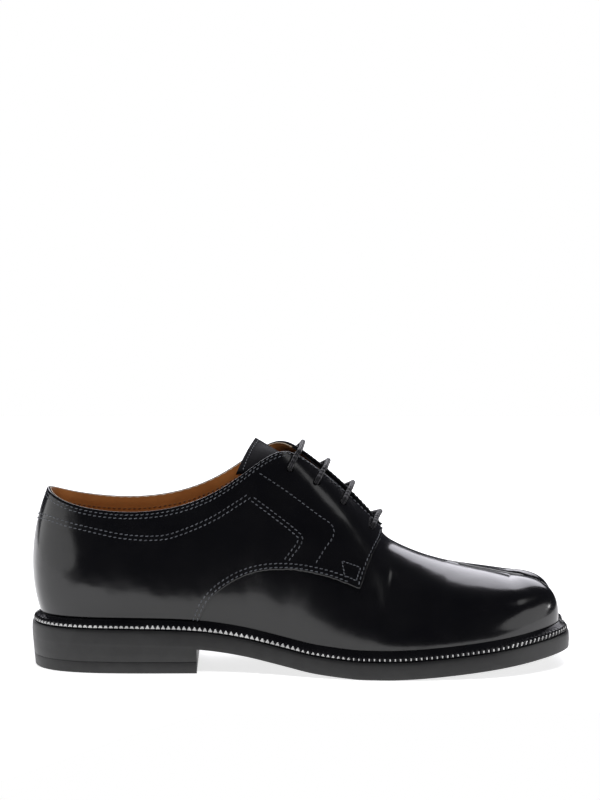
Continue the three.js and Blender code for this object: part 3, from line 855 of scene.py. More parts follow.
def make_upper():
    points = []
    faces = []
    for side in SIDES:
        skin, _ = GRID[side]
        foot = SKIN[side]["controls"][:, 0, :].copy()
        foot[:, 2] = [sole_top(x) + CLEARANCE for x in foot[:, 0]]
        block = np.concatenate((foot[:, None, :], skin), axis=1)
        start = len(points)
        points.extend(block.reshape(-1, 3))
        faces.extend(grid_faces(COUNT, LEVELS + 2, side == "medial", start))
    piece = new_object("upper_shell", points, faces, (BLACK, LINING, EDGE))
    mesh = piece.data
    count = len(mesh.vertices)
    place = np.empty(count * 3)
    mesh.vertices.foreach_get("co", place)
    place = place.reshape(-1, 3) / MILLIMETRE + ORIGIN
    normal = np.array([tuple(v.normal) for v in mesh.vertices])
    crease = np.zeros(count)
    near = (place[:, 1] < 0) & (place[:, 0] > CREASED[0]) & (place[:, 0] < CREASED[1])
    crease[near] = crease_depth("lateral", place[near])
    rim_gap = np.full(count, np.inf)
    for side in SIDES:
        edge = GRID[side][0][:THROAT * ROW_STEPS + 1:2, -1]
        rim_gap = np.minimum(rim_gap, np.min(np.linalg.norm(place[:, None] - edge[None], axis=2), axis=1))
    wall = RIM_WALL + (UPPER_WALL - RIM_WALL) * smoothstep(rim_gap, 0.0, RIM_DEPTH)
    off = np.abs(place[:, 1] - SPLIT_CENTRE)
    split = smoothstep(place[:, 0], *CLEFT_START) * (1 - smoothstep(off, *CLEFT_REACH))
    wall = wall * (1 - split) + CLEFT_WALL * split
    outer = place + normal * crease[:, None]
    inner = place + normal * (crease - wall)[:, None]
    rims = {}
    for polygon in mesh.polygons:
        corner = list(polygon.vertices)
        for a, b in zip(corner, corner[1:] + corner[:1]):
            if (b, a) in rims:
                del rims[(b, a)]
            else:
                rims[(a, b)] = True
    all_faces = [tuple(p.vertices) for p in mesh.polygons]
    picked = [0] * len(all_faces)
    picked += [1 if place[face[0], 0] < DARK_INSIDE_FROM else 3 for face in all_faces]
    band = [(b, a, a + count, b + count) for a, b in rims]
    picked += [2 if place[a, 0] < RAW_EDGE_TO else 3 for a, _ in rims]
    for k, face in enumerate(all_faces):
        x, y, _ = place[list(face)].mean(axis=0)
        # Painted shade: faces of the split and of the strip beside it take the dull black
        if x > SPLIT_SHADE_FROM and SPLIT_SHADE_STRIP[0] < y < SPLIT_SHADE_STRIP[1]:
            picked[k] = 4
    bpy.data.objects.remove(piece)
    faces = all_faces + turned(all_faces, count) + band
    return new_object("upper_shell", np.concatenate((outer, inner)), faces,
                      (BLACK, LINING, EDGE, PAINTED, SPLIT_PAINTED_SHADE), picked, weld=False)


# Level on each station where the quarter starts, from its edge seen in the side view
def quarter_floor(side):
    edge = np.array([from_photo(*p) for p in SEAM])
    edge = curve_through(edge, 0.4)
    view = SEEN[side]
    levels = np.linspace(0.0, 1.0, LEVELS * 6 + 1)
    floors = []
    for i in range(COUNT):
        if STATIONS[i] > THROAT:
            break
        fine = read_off(levels * LEVELS, np.arange(LEVELS + 1), view[i])
        needed = np.interp(fine[:, 0], edge[:, 0], edge[:, 1], left=0.0, right=1e3)
        above = np.nonzero(fine[:, 1] >= needed)[0]
        floors.append(max(levels[above[0]], 0.004) if len(above) else 1.0)
    return np.array(floors)


EDGE_STEPS = (0.0, 0.08, 0.25, 0.5, 0.85, 1.25)
QUARTER_COLUMNS = 44
EDGE_ROUND = 0.85
HIGHEST_FLOOR = 0.995
SHORTEST_COLUMN = 0.4
HEEL_SEAM_TO = 40.0


def wall_at(x):
    return QUARTER_WALL + (FACING_WALL - QUARTER_WALL) * smoothstep(x / SHOE_LENGTH, 0.42, 0.6)


def make_quarter(side):
    floors = quarter_floor(side)
    stations = [i for i in range(len(floors)) if floors[i] < HIGHEST_FLOOR]
    outer, inner = [], []
    for i in stations:
        low, high = floors[i], 1.0
        foot, _ = skin_at(side, i, low)
        ridge, _ = skin_at(side, i, high)
        length = max(np.linalg.norm(ridge - foot), SHORTEST_COLUMN)
        reach = min(length / 2.2, EDGE_STEPS[-1])
        near = [d * reach / EDGE_STEPS[-1] / length for d in EDGE_STEPS]
        middle = np.linspace(near[-1], 1 - near[-1], QUARTER_COLUMNS)[1:-1]
        shares = near + list(middle) + [1 - d for d in near[::-1]]
        for share in shares:
            p, n = skin_at(side, i, low + (high - low) * share)
            wall = wall_at(p[0])
            distance = min(share, 1 - share) * length
            if p[0] < HEEL_SEAM_TO:
                distance = min(distance, abs(p[1]))
            e = min(distance / EDGE_ROUND, 1.0)
            rounding = math.sqrt(max(1 - (1 - e) ** 2, 0.0))
            mid = QUARTER_GAP + wall / 2
            outer.append(p + n * (mid + wall / 2 * rounding))
            inner.append(p + n * (mid - wall / 2 * rounding * 0.999 - 0.001))
    columns = len(EDGE_STEPS) * 2 + QUARTER_COLUMNS - 2
    flip = side == "lateral"
    faces = grid_faces(len(stations), columns, flip)
    count = len(outer)
    rows = len(stations)
    edges = (
        range(0, rows * columns, columns),
        range(rows * columns - 1, 0, -columns),
        range(columns - 1, -1, -1),
        range((rows - 1) * columns, rows * columns),
    )
    rim = [face for line in edges for face in strip(line, count, flip)]
    picked = [0] * (2 * len(faces)) + [1] * len(rim)
    return new_object(f"quarter_{side}_shell", outer + inner, faces + turned(faces, count) + rim,
                      (QUARTER_BLACK, PAINTED), picked)


# Eyelets: the throat's first station, the step of the search for a level, and the drill, a little
# narrower than the eyelet
THROAT_FROM = 80
LEVEL_STEP = 0.002
EYELET_SHARE = 0.92
DRILL_LENGTH = 13.0


def throat_station(along):
    tops = SKIN["lateral"]["controls"][:THROAT * ROW_STEPS + 1, 3, 0]
    return float(np.interp(along * SHOE_LENGTH, tops[THROAT_FROM:], np.arange(THROAT_FROM, len(tops))))


def eyelet_level(side, along):
    station = throat_station(along)
    top, _ = skin_at(side, station, 1.0)
    level = 1.0
    while np.linalg.norm(skin_at(side, station, level)[0] - top) < EYELET_INSET:
        level -= LEVEL_STEP
    return level


EYELET_LEVEL = {(side, along): eyelet_level(side, along) for side in SIDES for along in EYELETS}


def eyelet(side, along):
    return skin_at(side, throat_station(along), EYELET_LEVEL[side, along])


def cut_eyelets(piece, sides):
    for side in sides:
        for along in EYELETS:
            centre, normal = eyelet(side, along)
            work = bmesh.new()
            turn = Vector((0, 0, 1)).rotation_difference(Vector(normal)).to_matrix().to_4x4()
            place = Matrix.Translation(Vector(world(centre)))
            radius = EYELET_DIAMETER / 2 * MILLIMETRE * EYELET_SHARE
            bmesh.ops.create_cone(work, cap_ends=True, segments=24, radius1=radius, radius2=radius,
                                  depth=DRILL_LENGTH * MILLIMETRE, matrix=place @ turn)
            mesh = bpy.data.meshes.new("drill")
            work.to_mesh(mesh)
            work.free()
            drill = add_object("drill", mesh)
            cut = piece.modifiers.new("hole", "BOOLEAN")
            cut.operation = "DIFFERENCE"
            cut.solver = "FAST"
            cut.object = drill
            bpy.context.view_layer.update()
            done = bpy.data.meshes.new_from_object(
                piece.evaluated_get(bpy.context.evaluated_depsgraph_get()))
            piece.modifiers.clear()
            piece.data = done
            bpy.data.objects.remove(drill)
    piece.data.set_sharp_from_angle(angle=math.radians(UPPER_SHARP))


upper = make_upper()
fix_normals(upper)
cut_eyelets(upper, SIDES)
finish_piece(upper, "upper_leather", "upper")
for side_name in SIDES:
    quarter = make_quarter(side_name)
    fix_normals(quarter)
    cut_eyelets(quarter, (side_name,))
    finish_piece(quarter, "upper_leather", f"quarter_{side_name}")


# Lace and piping: the sides of a tube, and the length in which the braid winds round once
LACE_SIDES = 12
BRAID_TURN = 5.6


def tube(name, path, radius, material, sides=LACE_SIDES):
    tangent = unit(np.gradient(path, axis=0))
    normal = unit(np.cross(tangent[0], (0.3, 0.2, 1.0)))
    lengths = run_lengths(path)
    points = []
    for i in range(len(path)):
        normal = unit(normal - tangent[i] * np.dot(normal, tangent[i]))
        other = np.cross(tangent[i], normal)
        for k in range(sides):
            angle = 2 * math.pi * k / sides
            points.append(path[i] + radius * (math.cos(angle) * normal + math.sin(angle) * other))
    faces = ring_faces(len(path), sides)
    maps = []
    for i in range(len(path) - 1):
        for k in range(sides):
            u0, u1 = lengths[i] / BRAID_TURN, lengths[i + 1] / BRAID_TURN
            v0, v1 = k / sides, (k + 1) / sides
            maps.extend(((u0, v0), (u0, v1), (u1, v1), (u1, v0)))
    last = (len(path) - 1) * sides
    faces.append(tuple(range(sides))[::-1])
    faces.append(tuple(last + k for k in range(sides)))
    maps.extend([(0.0, 0.0)] * (2 * sides))
    piece = new_object(name, points, faces, (material,), weld=False)
    layer = piece.data.uv_layers.new(name="cord")
    layer.data.foreach_set("uv", np.array(maps).ravel())
    fix_normals(piece)
    return piece


# Sole parts: rings of the outline from the heel's back to the middle of the notch on each side
OUTLINE_STEPS = 200
CUT_STEPS = 90
BRIDGE_STEPS = 26


def notch_back(p):
    tip = SHOE_LENGTH - NOTCH_DEPTH
    off = abs(p[1] - SPLIT_CENTRE)
    run = 2 * NOTCH_DEPTH / (NOTCH_WIDTH - NOTCH_TIP / 2)
    limit = tip + max(off - NOTCH_TIP / 2, 0.0) * run
    return np.array([min(p[0], limit), p[1]])


def foot_at(side, station, offset):
    i = min(max(station, 0.0), COUNT - 1.001)
    a = int(i)
    f = i - a
    controls = SKIN[side]["controls"][:, 0, :2]
    out = SKIN[side]["out"][:, :2]
    p = controls[a] * (1 - f) + controls[a + 1] * f
    n = out[a] * (1 - f) + out[a + 1] * f
    return p + unit(n) * offset


def half_outline(side, offset, steps=OUTLINE_STEPS):
    end = (FORK + 1 + FRONT[side]) * ROW_STEPS
    line = [foot_at(side, s, offset) for s in np.linspace(0.0, end, steps)]
    both = [foot_at(s, (FORK + 1 + FRONT[s]) * ROW_STEPS, offset) for s in SIDES]
    share = (SPLIT_CENTRE - both[0][1]) / (both[1][1] - both[0][1])
    middle = both[0] + (both[1] - both[0]) * share
    for f in np.linspace(0.0, 1.0, BRIDGE_STEPS + 1)[1:]:
        line.append(line[steps - 1] * (1 - f) + middle * f)
    return np.array([notch_back(p) for p in line])


# Start of an outline as far as a cut across the shoe, with as many points on both sides
def cut_line(line, until):
    last = int(np.argmax(line[:, 0] >= until))
    part = (until - line[last - 1, 0]) / (line[last, 0] - line[last - 1, 0])
    end = line[last - 1] * (1 - part) + line[last] * part
    kept = np.concatenate((line[:last], [end]))
    wanted = np.linspace(0, len(kept) - 1, CUT_STEPS)
    return read_off(wanted, np.arange(len(kept)), kept)


SLAB_ACROSS = 8


# Ring across the shoe: up the outer side, over the top, down the inner side and back below
def cross_ring(halves, i, profile, low, high, across, below):
    ring = []

    def edge(side, rows):
        for k in rows:
            x, y = halves[side][k][i]
            share = profile[k][1]
            ring.append((x, y, low(x) * (1 - share) + high(x) * share))

    def face(start, end, height):
        for f in np.linspace(0.0, 1.0, across + 1)[1:-1]:
            x, y = start * (1 - f) + end * f
            ring.append((x, y, height(x)))

    rows = range(len(profile))
    edge("lateral", rows)
    face(halves["lateral"][-1][i], halves["medial"][-1][i], high)
    edge("medial", rows[::-1])
    if below:
        face(halves["medial"][0][i], halves["lateral"][0][i], low)
    return ring


# Body between two height functions, with a side profile of (offset, share of height)
def make_body(name, halves, profile, low, high, across, material, below=True, capped=True):
    count = min(len(halves[side][0]) for side in SIDES)
    rings = [cross_ring(halves, i, profile, low, high, across, below) for i in range(count)]
    size = len(rings[0])
    faces = ring_faces(count, size)
    if capped:
        faces.append(tuple(range((count - 1) * size, count * size)))
    piece = new_object(name, [p for ring in rings for p in ring], faces, (material,))
    fix_normals(piece, SOLE_SHARP)
    return piece


def make_slab(name, low, high, profile, material, until=None):
    halves = {side: [half_outline(side, offset) for offset, _ in profile] for side in SIDES}
    if until is not None:
        halves = {side: [cut_line(line, until) for line in halves[side]] for side in SIDES}
    return make_body(name, halves, profile, low, high, SLAB_ACROSS, material, capped=until is not None)


SOLE_OUT = WELT_WIDTH + WELT_SETBACK
SOLE_PROFILE = (
    # (offset, share of height)
    (SOLE_OUT - 0.5, 0.0),
    (SOLE_OUT - 0.2, 0.02),
    (SOLE_OUT - 0.05, 0.08),
    (SOLE_OUT, 0.22),
    (SOLE_OUT + 0.1, 0.5),
    (SOLE_OUT, 0.8),
    (SOLE_OUT - 0.15, 0.93),
    (SOLE_OUT - 0.45, 0.99),
    (SOLE_OUT - 0.8, 1.0),
)
outsole = make_slab("outsole_slab", sole_bottom, sole_top, SOLE_PROFILE, SOLE_RUBBER)
finish_piece(outsole, "sole", "outsole")


HEEL_EDGE = 0.12
HEEL_INSET = 0.05
STACK_OVERLAP = 1.2


def heel_profile(low, high, edge, top_edge=HEEL_EDGE):
    rows = []
    for share in (0.0, edge, 0.5, 1 - edge, 1.0):
        z = low + (high - low) * share
        inset = HEEL_TAPER * (1 - z / HEEL_LIFT) + HEEL_INSET
        if share == 0.0:
            inset += HEEL_EDGE
        if share == 1.0:
            inset += top_edge
        rows.append((SOLE_OUT - inset, share))
    return tuple(rows)


heel = make_slab(
    "heel_stack", lambda x: TOP_LIFT + 0.12, lambda x: sole_bottom(x) + STACK_OVERLAP,
    heel_profile(TOP_LIFT, HEEL_LIFT, 0.02, 0.0), SOLE_RUBBER, HEEL_LENGTH)
finish_piece(heel, "sole", "heel_block")
lift = make_slab(
    "heel_lift", lambda x: 0.0, lambda x: TOP_LIFT,
    heel_profile(0.0, TOP_LIFT, 0.04), LIFT_RUBBER, HEEL_LENGTH)
finish_piece(lift, "top_lift", "top_lift")

# Welt: sloped top and an edge pressed into small teeth by a wheel
TOOTH_PITCH = 2.88
TOOTH_STEPS = 8
TOOTH_DEPTH = 0.55
WELT_OUTLINE_STEPS = 700
WELT_SECTION = (
    # (offset, rise, share of the tooth)
    (CLEARANCE, 0.3, 0.0),
    (WELT_WIDTH - 0.3, 0.3, 0.0),
    (WELT_WIDTH, 0.6, 0.0),
    (WELT_WIDTH, 0.9, 0.6),
    (WELT_WIDTH, 1.5, 1.0),
    (WELT_WIDTH - 0.1, 2.1, 1.0),
    (WELT_WIDTH - 0.35, 2.7, 1.0),
    (WELT_WIDTH - 0.75, 3.2, 0.6),
    (WELT_WIDTH - 1.3, 3.5, 0.0),
    (WELT_WIDTH - 3.3, 4.5, 0.0),
    (0.9, 5.45, 0.0),
    (CLEARANCE, 5.7, 0.0),
)
# Rows of the section that each tooth's pale face covers, a painted highlight for the light the tooth
# catches,
# with the steps it spans there: wide at the heel and waist, a dot at the ball and a slanted dash at the
# toe
TOOTH_GLINT_FACES = (
    # (from x, {row: (first step, last step)})
    (0.0, {3: (1, 6), 4: (2, 5)}),
    (62.0, {3: (1, 6), 4: (2, 5), 5: (3, 4)}),
    (150.0, {3: (2, 5), 4: (3, 4)}),
    (178.0, {3: (3, 4), 4: (3, 4)}),
    (262.0, {3: (2, 3), 4: (3, 4), 5: (4, 5)}),
)


def tooth_glint_face(x, row, step):
    rows = [faces for start, faces in TOOTH_GLINT_FACES if x >= start][-1] if x >= 0 else TOOTH_GLINT_FACES[0][1]
    return row in rows and rows[row][0] <= step <= rows[row][1]


def make_welt():
    offsets = sorted({offset for offset, _, _ in WELT_SECTION})
    loops = {}
    for offset in offsets:
        lateral, medial = (half_outline(side, offset, WELT_OUTLINE_STEPS) for side in SIDES)
        loops[offset] = np.concatenate((lateral, medial[-2:0:-1]))
    guide = loops[WELT_WIDTH]
    lengths = run_lengths(np.concatenate((guide, guide[:1])))
    teeth = int(round(lengths[-1] / TOOTH_PITCH))
    count = teeth * TOOTH_STEPS
    wanted = np.arange(count) / count * lengths[-1]
    number = np.interp(wanted, lengths, np.arange(len(lengths)))
    points = []
    for k, place in enumerate(number):
        phase = (k % TOOTH_STEPS) / TOOTH_STEPS
        tooth = 1 - abs(2 * phase - 1)
        a = int(place) % len(guide)
        b = (a + 1) % len(guide)
        f = place - int(place)
        inside = loops[CLEARANCE][a] * (1 - f) + loops[CLEARANCE][b] * f
        outside = guide[a] * (1 - f) + guide[b] * f
        out = outside - inside
        size = np.linalg.norm(out)
        out = out / size if size > 0.3 else np.zeros(2)
        for offset, rise, share in WELT_SECTION:
            line = loops[offset]
            p = line[a] * (1 - f) + line[b] * f
            p = p - out * share * TOOTH_DEPTH * tooth
            points.append((p[0], p[1], sole_top(p[0]) + rise))
    size = len(WELT_SECTION)
    faces = []
    picked = []
    for i in range(count):
        n = (i + 1) % count
        for k in range(size):
            m = (k + 1) % size
            faces.append((i * size + k, i * size + m, n * size + m, n * size + k))
            picked.append(int(tooth_glint_face(points[i * size][0], k, i % TOOTH_STEPS)))
    piece = new_object("welt_band", points, faces, (WELT_LEATHER, TOOTH_GLINT), picked)
    fix_normals(piece, WELT_SHARP)
    return piece


finish_piece(make_welt(), "welt", "welt")


# Sock on the insole
SOCK_STEPS = 160
SOCK_ACROSS = 10
SOCK_SHORT = 10
SOCK_PROFILE = (
    # (offset, share of height)
    (-0.5, 0.0),
    (0.0, 0.2),
    (0.0, 0.7),
    (-0.5, 0.93),
    (-1.2, 1.0),
)


def sock_bottom(x):
    return sole_top(x) + CLEARANCE


def sock_top(x):
    return sock_bottom(x) + INSOLE_THICKNESS


def make_sock():
    inset = UPPER_WALL + INSOLE_CLEARANCE
    places = np.linspace(0.0, FORK * ROW_STEPS - SOCK_SHORT, SOCK_STEPS)
    halves = {side: [[foot_at(side, at, offset - inset) for at in places] for offset, _ in SOCK_PROFILE]
              for side in SIDES}
    return make_body("sock", halves, SOCK_PROFILE, sock_bottom, sock_top, SOCK_ACROSS, LINING, below=False)


finish_piece(make_sock(), "lining", "insole")


# Piping along both edges of the split: the near edge as the photo shows it, the far one at its corner
# Both tubes are pale: a painted highlight for the light caught along the split's rims
PIPING_RADIUS = 0.5
FAR_RADIUS = 0.28
PIPING_SPACING = 0.8
NEAR_SEAT = 0.5
FAR_SEAT = 0.4
SPLIT_EDGE = (
    # (px, py)
    (461.0, 566.8),
    (467.0, 569.8),
    (488.2, 570.7),
    (504.4, 572.9),
    (523.0, 577.2),
    (539.2, 584.7),
    (550.4, 594.6),
    (557.2, 605.0),
)
SPLIT_SIDE = 6.2
SPLIT_TURN = 276.0
SPLIT_SMOOTHING = 12
FAR_ROWS = (8.0, 13.6)
FAR_SLOPE = 0.62


def near_edge():
    first = (FORK + 4) * ROW_STEPS
    points, normals = GRID["lateral"]
    points = points[first:].reshape(-1, 3)
    normals = normals[first:].reshape(-1, 3)
    height = seen("lateral", points)[:, 1]
    path = []
    for x, wanted in curve_through([from_photo(*p) for p in SPLIT_EDGE], 1.0):
        if x < SPLIT_TURN:
            near = np.nonzero((np.abs(points[:, 0] - x) < 0.8) & (points[:, 1] < SPLIT_SIDE))[0]
            k = near[np.argmax(height[near])]
        else:
            target = np.array([x, SPLIT_SIDE, (wanted - SEEN_DEPTH * SPLIT_SIDE) / SEEN_RISE])
            k = np.argmin(np.sum((points - target) ** 2, axis=1))
        path.append(points[k] + normals[k] * PIPING_RADIUS * NEAR_SEAT)
    return smooth_line(np.array(path), SPLIT_SMOOTHING)


# Corner of the medial lobe's inner wall, with its directions
def far_edge():
    points, normals = GRID["medial"]
    path = []
    for at in np.arange(FAR_ROWS[0], FAR_ROWS[1], 0.1):
        i = int(round((FORK + at) * ROW_STEPS))
        steep = np.nonzero(normals[i, :, 2] > FAR_SLOPE)[0]
        j = steep[0] if len(steep) else LEVELS
        path.append(np.concatenate((points[i, j], normals[i, j])))
    return smooth_line(np.array(path), SPLIT_SMOOTHING)


def make_piping():
    near = tube("split_piping_near", curve_through(near_edge(), PIPING_SPACING), PIPING_RADIUS, PIPING_HIGHLIGHT, 10)
    finish_piece(near, "upper_leather")
    edge = far_edge()
    line = edge[:, :3] + edge[:, 3:] * PIPING_RADIUS * FAR_SEAT
    far = tube("split_piping_far", curve_through(line, PIPING_SPACING), FAR_RADIUS, PIPING_HIGHLIGHT, 8)
    finish_piece(far, "upper_leather")


# Tongue with soft edges
def tongue_at(row, s):
    along, height, half, fall, skew, tilt = row_at(TONGUE, row)
    return np.array([
        (along + skew * s) * SHOE_LENGTH,
        s * half * HALF_BALL,
        (height - fall * s * s + tilt * s) * INSTEP,
    ])


def tongue_normal(row, s):
    step = 0.05
    down = tongue_at(min(row + step, len(TONGUE) - 1), s) - tongue_at(max(row - step, 0), s)
    across = tongue_at(row, s + step) - tongue_at(row, s - step)
    return unit(np.cross(down, across))


# Rows and shares lie closer at the edges, which are rounded over a distance in millimetres
TONGUE_LAST = len(TONGUE) - 1
TONGUE_ROUND = 1.1
TONGUE_HALF_MM = 20.0
TONGUE_ROW_MM = 15.0


def make_tongue():
    rows = [0.0, 0.004, 0.012, 0.03, 0.06] + list(np.linspace(0.1, TONGUE_LAST, 70))
    shares = [-1.0, -0.995, -0.98, -0.95] + list(np.linspace(-0.9, 0.9, 31)) + [0.95, 0.98, 0.995, 1.0]
    outer, inner = [], []
    for row in rows:
        for s in shares:
            p = tongue_at(row, s)
            n = tongue_normal(row, s)
            reach = min((1 - abs(s)) * TONGUE_HALF_MM, row * TONGUE_ROW_MM + 1e-6, TONGUE_ROUND)
            edge = reach / TONGUE_ROUND
            rounding = math.sqrt(max(1 - (1 - edge) ** 2, 0.0))
            middle = p - n * TONGUE_THICKNESS / 2
            outer.append(middle + n * TONGUE_THICKNESS / 2 * rounding)
            inner.append(middle - n * (TONGUE_THICKNESS / 2 * rounding + 0.001))
    columns = len(shares)
    faces = grid_faces(len(rows), columns, False)
    count = len(outer)
    end = strip(range((len(rows) - 1) * columns, len(rows) * columns), count)
    picked = [0] * len(faces) + [1] * len(faces) + [0] * len(end)
    piece = new_object("tongue_leather", outer + inner, faces + turned(faces, count) + end,
                       (TONGUE_LEATHER, LINING), picked)
    fix_normals(piece)
    return piece


finish_piece(make_tongue(), "upper_leather", "tongue")
make_piping()


# Stitches: short rounded threads that lie on the leather
STITCH_LENGTH = 1.75
STITCH_WIDTH = 0.6
STITCH_PITCH = 2.85
STITCH_SLANT = 0.16
STITCH_RINGS = (
    # (place along, share of the radius, share of the rise)
    (-0.5, 0.45, -0.6),
    (-0.38, 0.85, 0.2),
    (0.0, 1.0, 1.0),
    (0.38, 0.85, 0.2),
    (0.5, 0.45, -0.6),
)
STITCH_SIDES = 6
STITCH_PARTS = 6


class Stitches:
    def __init__(self, name, material, slot):
        self.name = name
        self.material = material
        self.slot = slot
        self.points = []
        self.faces = []

    def add(self, centre, direction, normal, length=STITCH_LENGTH, width=STITCH_WIDTH):
        direction = unit(direction)
        direction = unit(direction + unit(np.cross(normal, direction)) * STITCH_SLANT)
        across = unit(np.cross(normal, direction))
        start = len(self.points)
        radius = width / 2
        for place, size, rise in STITCH_RINGS:
            middle = centre + direction * place * length + normal * radius * (0.15 + 0.45 * rise)
            for k in range(STITCH_SIDES):
                angle = 2 * math.pi * k / STITCH_SIDES
                self.points.append(middle + radius * size * (
                    math.cos(angle) * across + math.sin(angle) * normal))
        self.faces.extend(ring_faces(len(STITCH_RINGS), STITCH_SIDES, start))
        last = start + (len(STITCH_RINGS) - 1) * STITCH_SIDES
        self.faces.append(tuple(start + k for k in range(STITCH_SIDES))[::-1])
        self.faces.append(tuple(last + k for k in range(STITCH_SIDES)))

    # A row of stitches along surface points given as (point, normal)
    def row(self, places, pitch=STITCH_PITCH, length=STITCH_LENGTH, width=STITCH_WIDTH):
        points = np.array([p for p, _ in places])
        normals = np.array([n for _, n in places])
        joined = even(np.concatenate((points, normals), axis=1), pitch / STITCH_PARTS)
        steps = len(joined) // STITCH_PARTS
        for k in range(steps):
            i = k * STITCH_PARTS + STITCH_PARTS // 2
            if i + 1 >= len(joined):
                break
            normal = unit(joined[i, 3:])
            self.add(joined[i, :3], joined[i + 1, :3] - joined[i - 1, :3], normal, length, width)

    def make(self):
        piece = new_object(self.name, self.points, self.faces, (self.material,), weld=False)
        return finish_piece(piece, self.slot)


# Place on the quarter's outer face at a station and level
def on_quarter(side, station, level):
    p, n = skin_at(side, station, level)
    return p + n * (QUARTER_GAP + wall_at(p[0])), n


# Level at a distance below the top of a station
def level_below(side, station, distance):
    top, _ = skin_at(side, station, 1.0)
    low, high = 0.0, 1.0
    for _ in range(24):
        middle = (low + high) / 2
        if np.linalg.norm(skin_at(side, station, middle)[0] - top) > distance:
            low = middle
        else:
            high = middle
    return (low + high) / 2


def photo_row(side, line, shift=0.0):
    view = curve_through([from_photo(*p) for p in line], 1.2)
    if shift:
        tangent = unit(np.gradient(view, axis=0))
        view = view + np.stack((-tangent[:, 1], tangent[:, 0]), axis=1) * shift
    return [on_quarter(side, *find(side, target)) for target in view]


seams = Stitches("seam_stitches", THREAD, "upper_leather")
TOPLINE_ROWS = (1.7, 3.6)
THROAT_ROW = 1.9
TOPLINE_END = 10.9
THROAT_END = 15.3
PANEL_SHIFTS = (0.0, 2.3)
SEAM_SHIFTS = (1.7, 3.9)
BOX_PITCH = 2.0
BOX_STITCH = 1.5
for side_name in SIDES:
    for distance in TOPLINE_ROWS:
        stations = np.arange(2.0, TOPLINE_END * ROW_STEPS, 2.0)
        seams.row([on_quarter(side_name, s, level_below(side_name, s, distance)) for s in stations])
    stations = np.arange(TOPLINE_END * ROW_STEPS + 1, THROAT_END * ROW_STEPS, 1.0)
    seams.row([on_quarter(side_name, s, level_below(side_name, s, THROAT_ROW)) for s in stations])
    for shift in PANEL_SHIFTS:
        seams.row(photo_row(side_name, PANEL, shift))
        seams.row(photo_row(side_name, PANEL_DOWN, -shift))
    seams.row(photo_row(side_name, FACING_LINE))
    for shift in SEAM_SHIFTS:
        seams.row(photo_row(side_name, SEAM[1:12], shift))
    seams.row(photo_row(side_name, SEAM[13:18], SEAM_SHIFTS[0]))
    box_line = TACK_BOX + TACK_BOX[:1]
    for a, b in zip(box_line[:-1], box_line[1:]):
        seams.row(photo_row(side_name, (a, b)), pitch=BOX_PITCH, length=BOX_STITCH)
seams.make()

# Tongue stitches just inside its top edge
tongue_thread = Stitches("tongue_stitches", THREAD, "upper_leather")
tongue_thread.row([(tongue_at(0.25, s), tongue_normal(0.25, s)) for s in np.linspace(-0.92, 0.92, 40)])
tongue_thread.make()

# Lining stitches under the rim
lining_thread = Stitches("lining_stitches", LINING_THREAD, "lining")
LINING_ROW = 6.5
LINING_END = 10.5
for side_name in SIDES:
    places = []
    for s in np.arange(2.0, LINING_END * ROW_STEPS, 2.0):
        p, n = skin_at(side_name, s, level_below(side_name, s, LINING_ROW))
        places.append((p - n * UPPER_WALL, -n))
    lining_thread.row(places)
lining_thread.make()


# Lace: one cord that crosses over the tongue and climbs behind the facings
HIDDEN_DEPTH = UPPER_WALL + LACE_DIAMETER * 0.75
SURFACE = QUARTER_GAP + FACING_WALL


# How a crossing leaves its eyelet: a small hook, then along the facing to its edge
LACE_HOOK = (1.7, -0.8)
LACE_SEAT = {
    "lateral": (
        # (share of the way to the edge, rise, forward)
        (0.30, 1.8, 0.1),
        (0.70, 1.6, 0.9),
        (1.00, 1.7, 1.5),
    ),
    "medial": (
        (0.30, 1.6, 1.4),
        (0.75, 1.3, 3.4),
        (1.00, 1.2, 3.5),
    ),
}
LACE_FORWARD = 2.6
LACE_RISE = 0.3
LACE_OVER_EDGE = 1.6
LACE_START = np.array([-8.0, 0.0, 4.0])
LACE_END = np.array([-6.0, 0.0, 0.0])


def lace_middle(along):
    edges = [skin_at(side, throat_station(along), 1.0) for side in SIDES]
    points = [p + n * (SURFACE + LACE_OVER_EDGE) for p, n in edges]
    middle = (points[0] + points[1]) / 2
    return middle + np.array([LACE_FORWARD, 0.0, LACE_RISE])


def lace_route():
    route = []
    order = EYELETS[::-1]
    side = "lateral"
    start, start_normal = eyelet(side, order[0])
    route.append(start - start_normal * HIDDEN_DEPTH + LACE_START)
    for along in order:
        other = "medial" if side == "lateral" else "lateral"
        for place, leaving in ((side, True), (other, False)):
            centre, normal = eyelet(place, along)
            station = throat_station(along)
            points = [centre - normal * HIDDEN_DEPTH, centre + normal * 0.5]
            points.append(centre + normal * (SURFACE + LACE_HOOK[0]) + np.array([LACE_HOOK[1], 0, 0]))
            for level_share, rise, forward in LACE_SEAT[place]:
                level = EYELET_LEVEL[place, along] * (1 - level_share) + level_share
                p, n = skin_at(place, station, level)
                points.append(p + n * (SURFACE + rise) + np.array([forward, 0, 0]))
            if leaving:
                route.extend(points)
                route.append(lace_middle(along))
            else:
                route.extend(points[::-1])
        side = other
    end, end_normal = eyelet(side, order[-1])
    route.append(end - end_normal * HIDDEN_DEPTH + LACE_END)
    return np.array(route)


lace = tube("lace", curve_through(lace_route(), 0.45), LACE_DIAMETER / 2, CORD)
finish_piece(lace, "lace", "lace_bar_1", "lace_bar_2", "lace_bar_3", "lace_bar_4")


# Pale floor and soft light of a small studio. The floor ends a little in front of the shoe, so that
# the leather reflects a dark room there.
FLOOR_OUTLINE = (
    # (x, y)
    (-0.75, -0.30),
    (-0.15, -0.29),
    (-0.09, -0.185),
    (-0.05, -0.13),
    (0.75, -0.13),
    (0.75, 0.90),
    (-0.75, 0.90),
)
DARK_ROOM = (0.03, 0.03, 0.038)


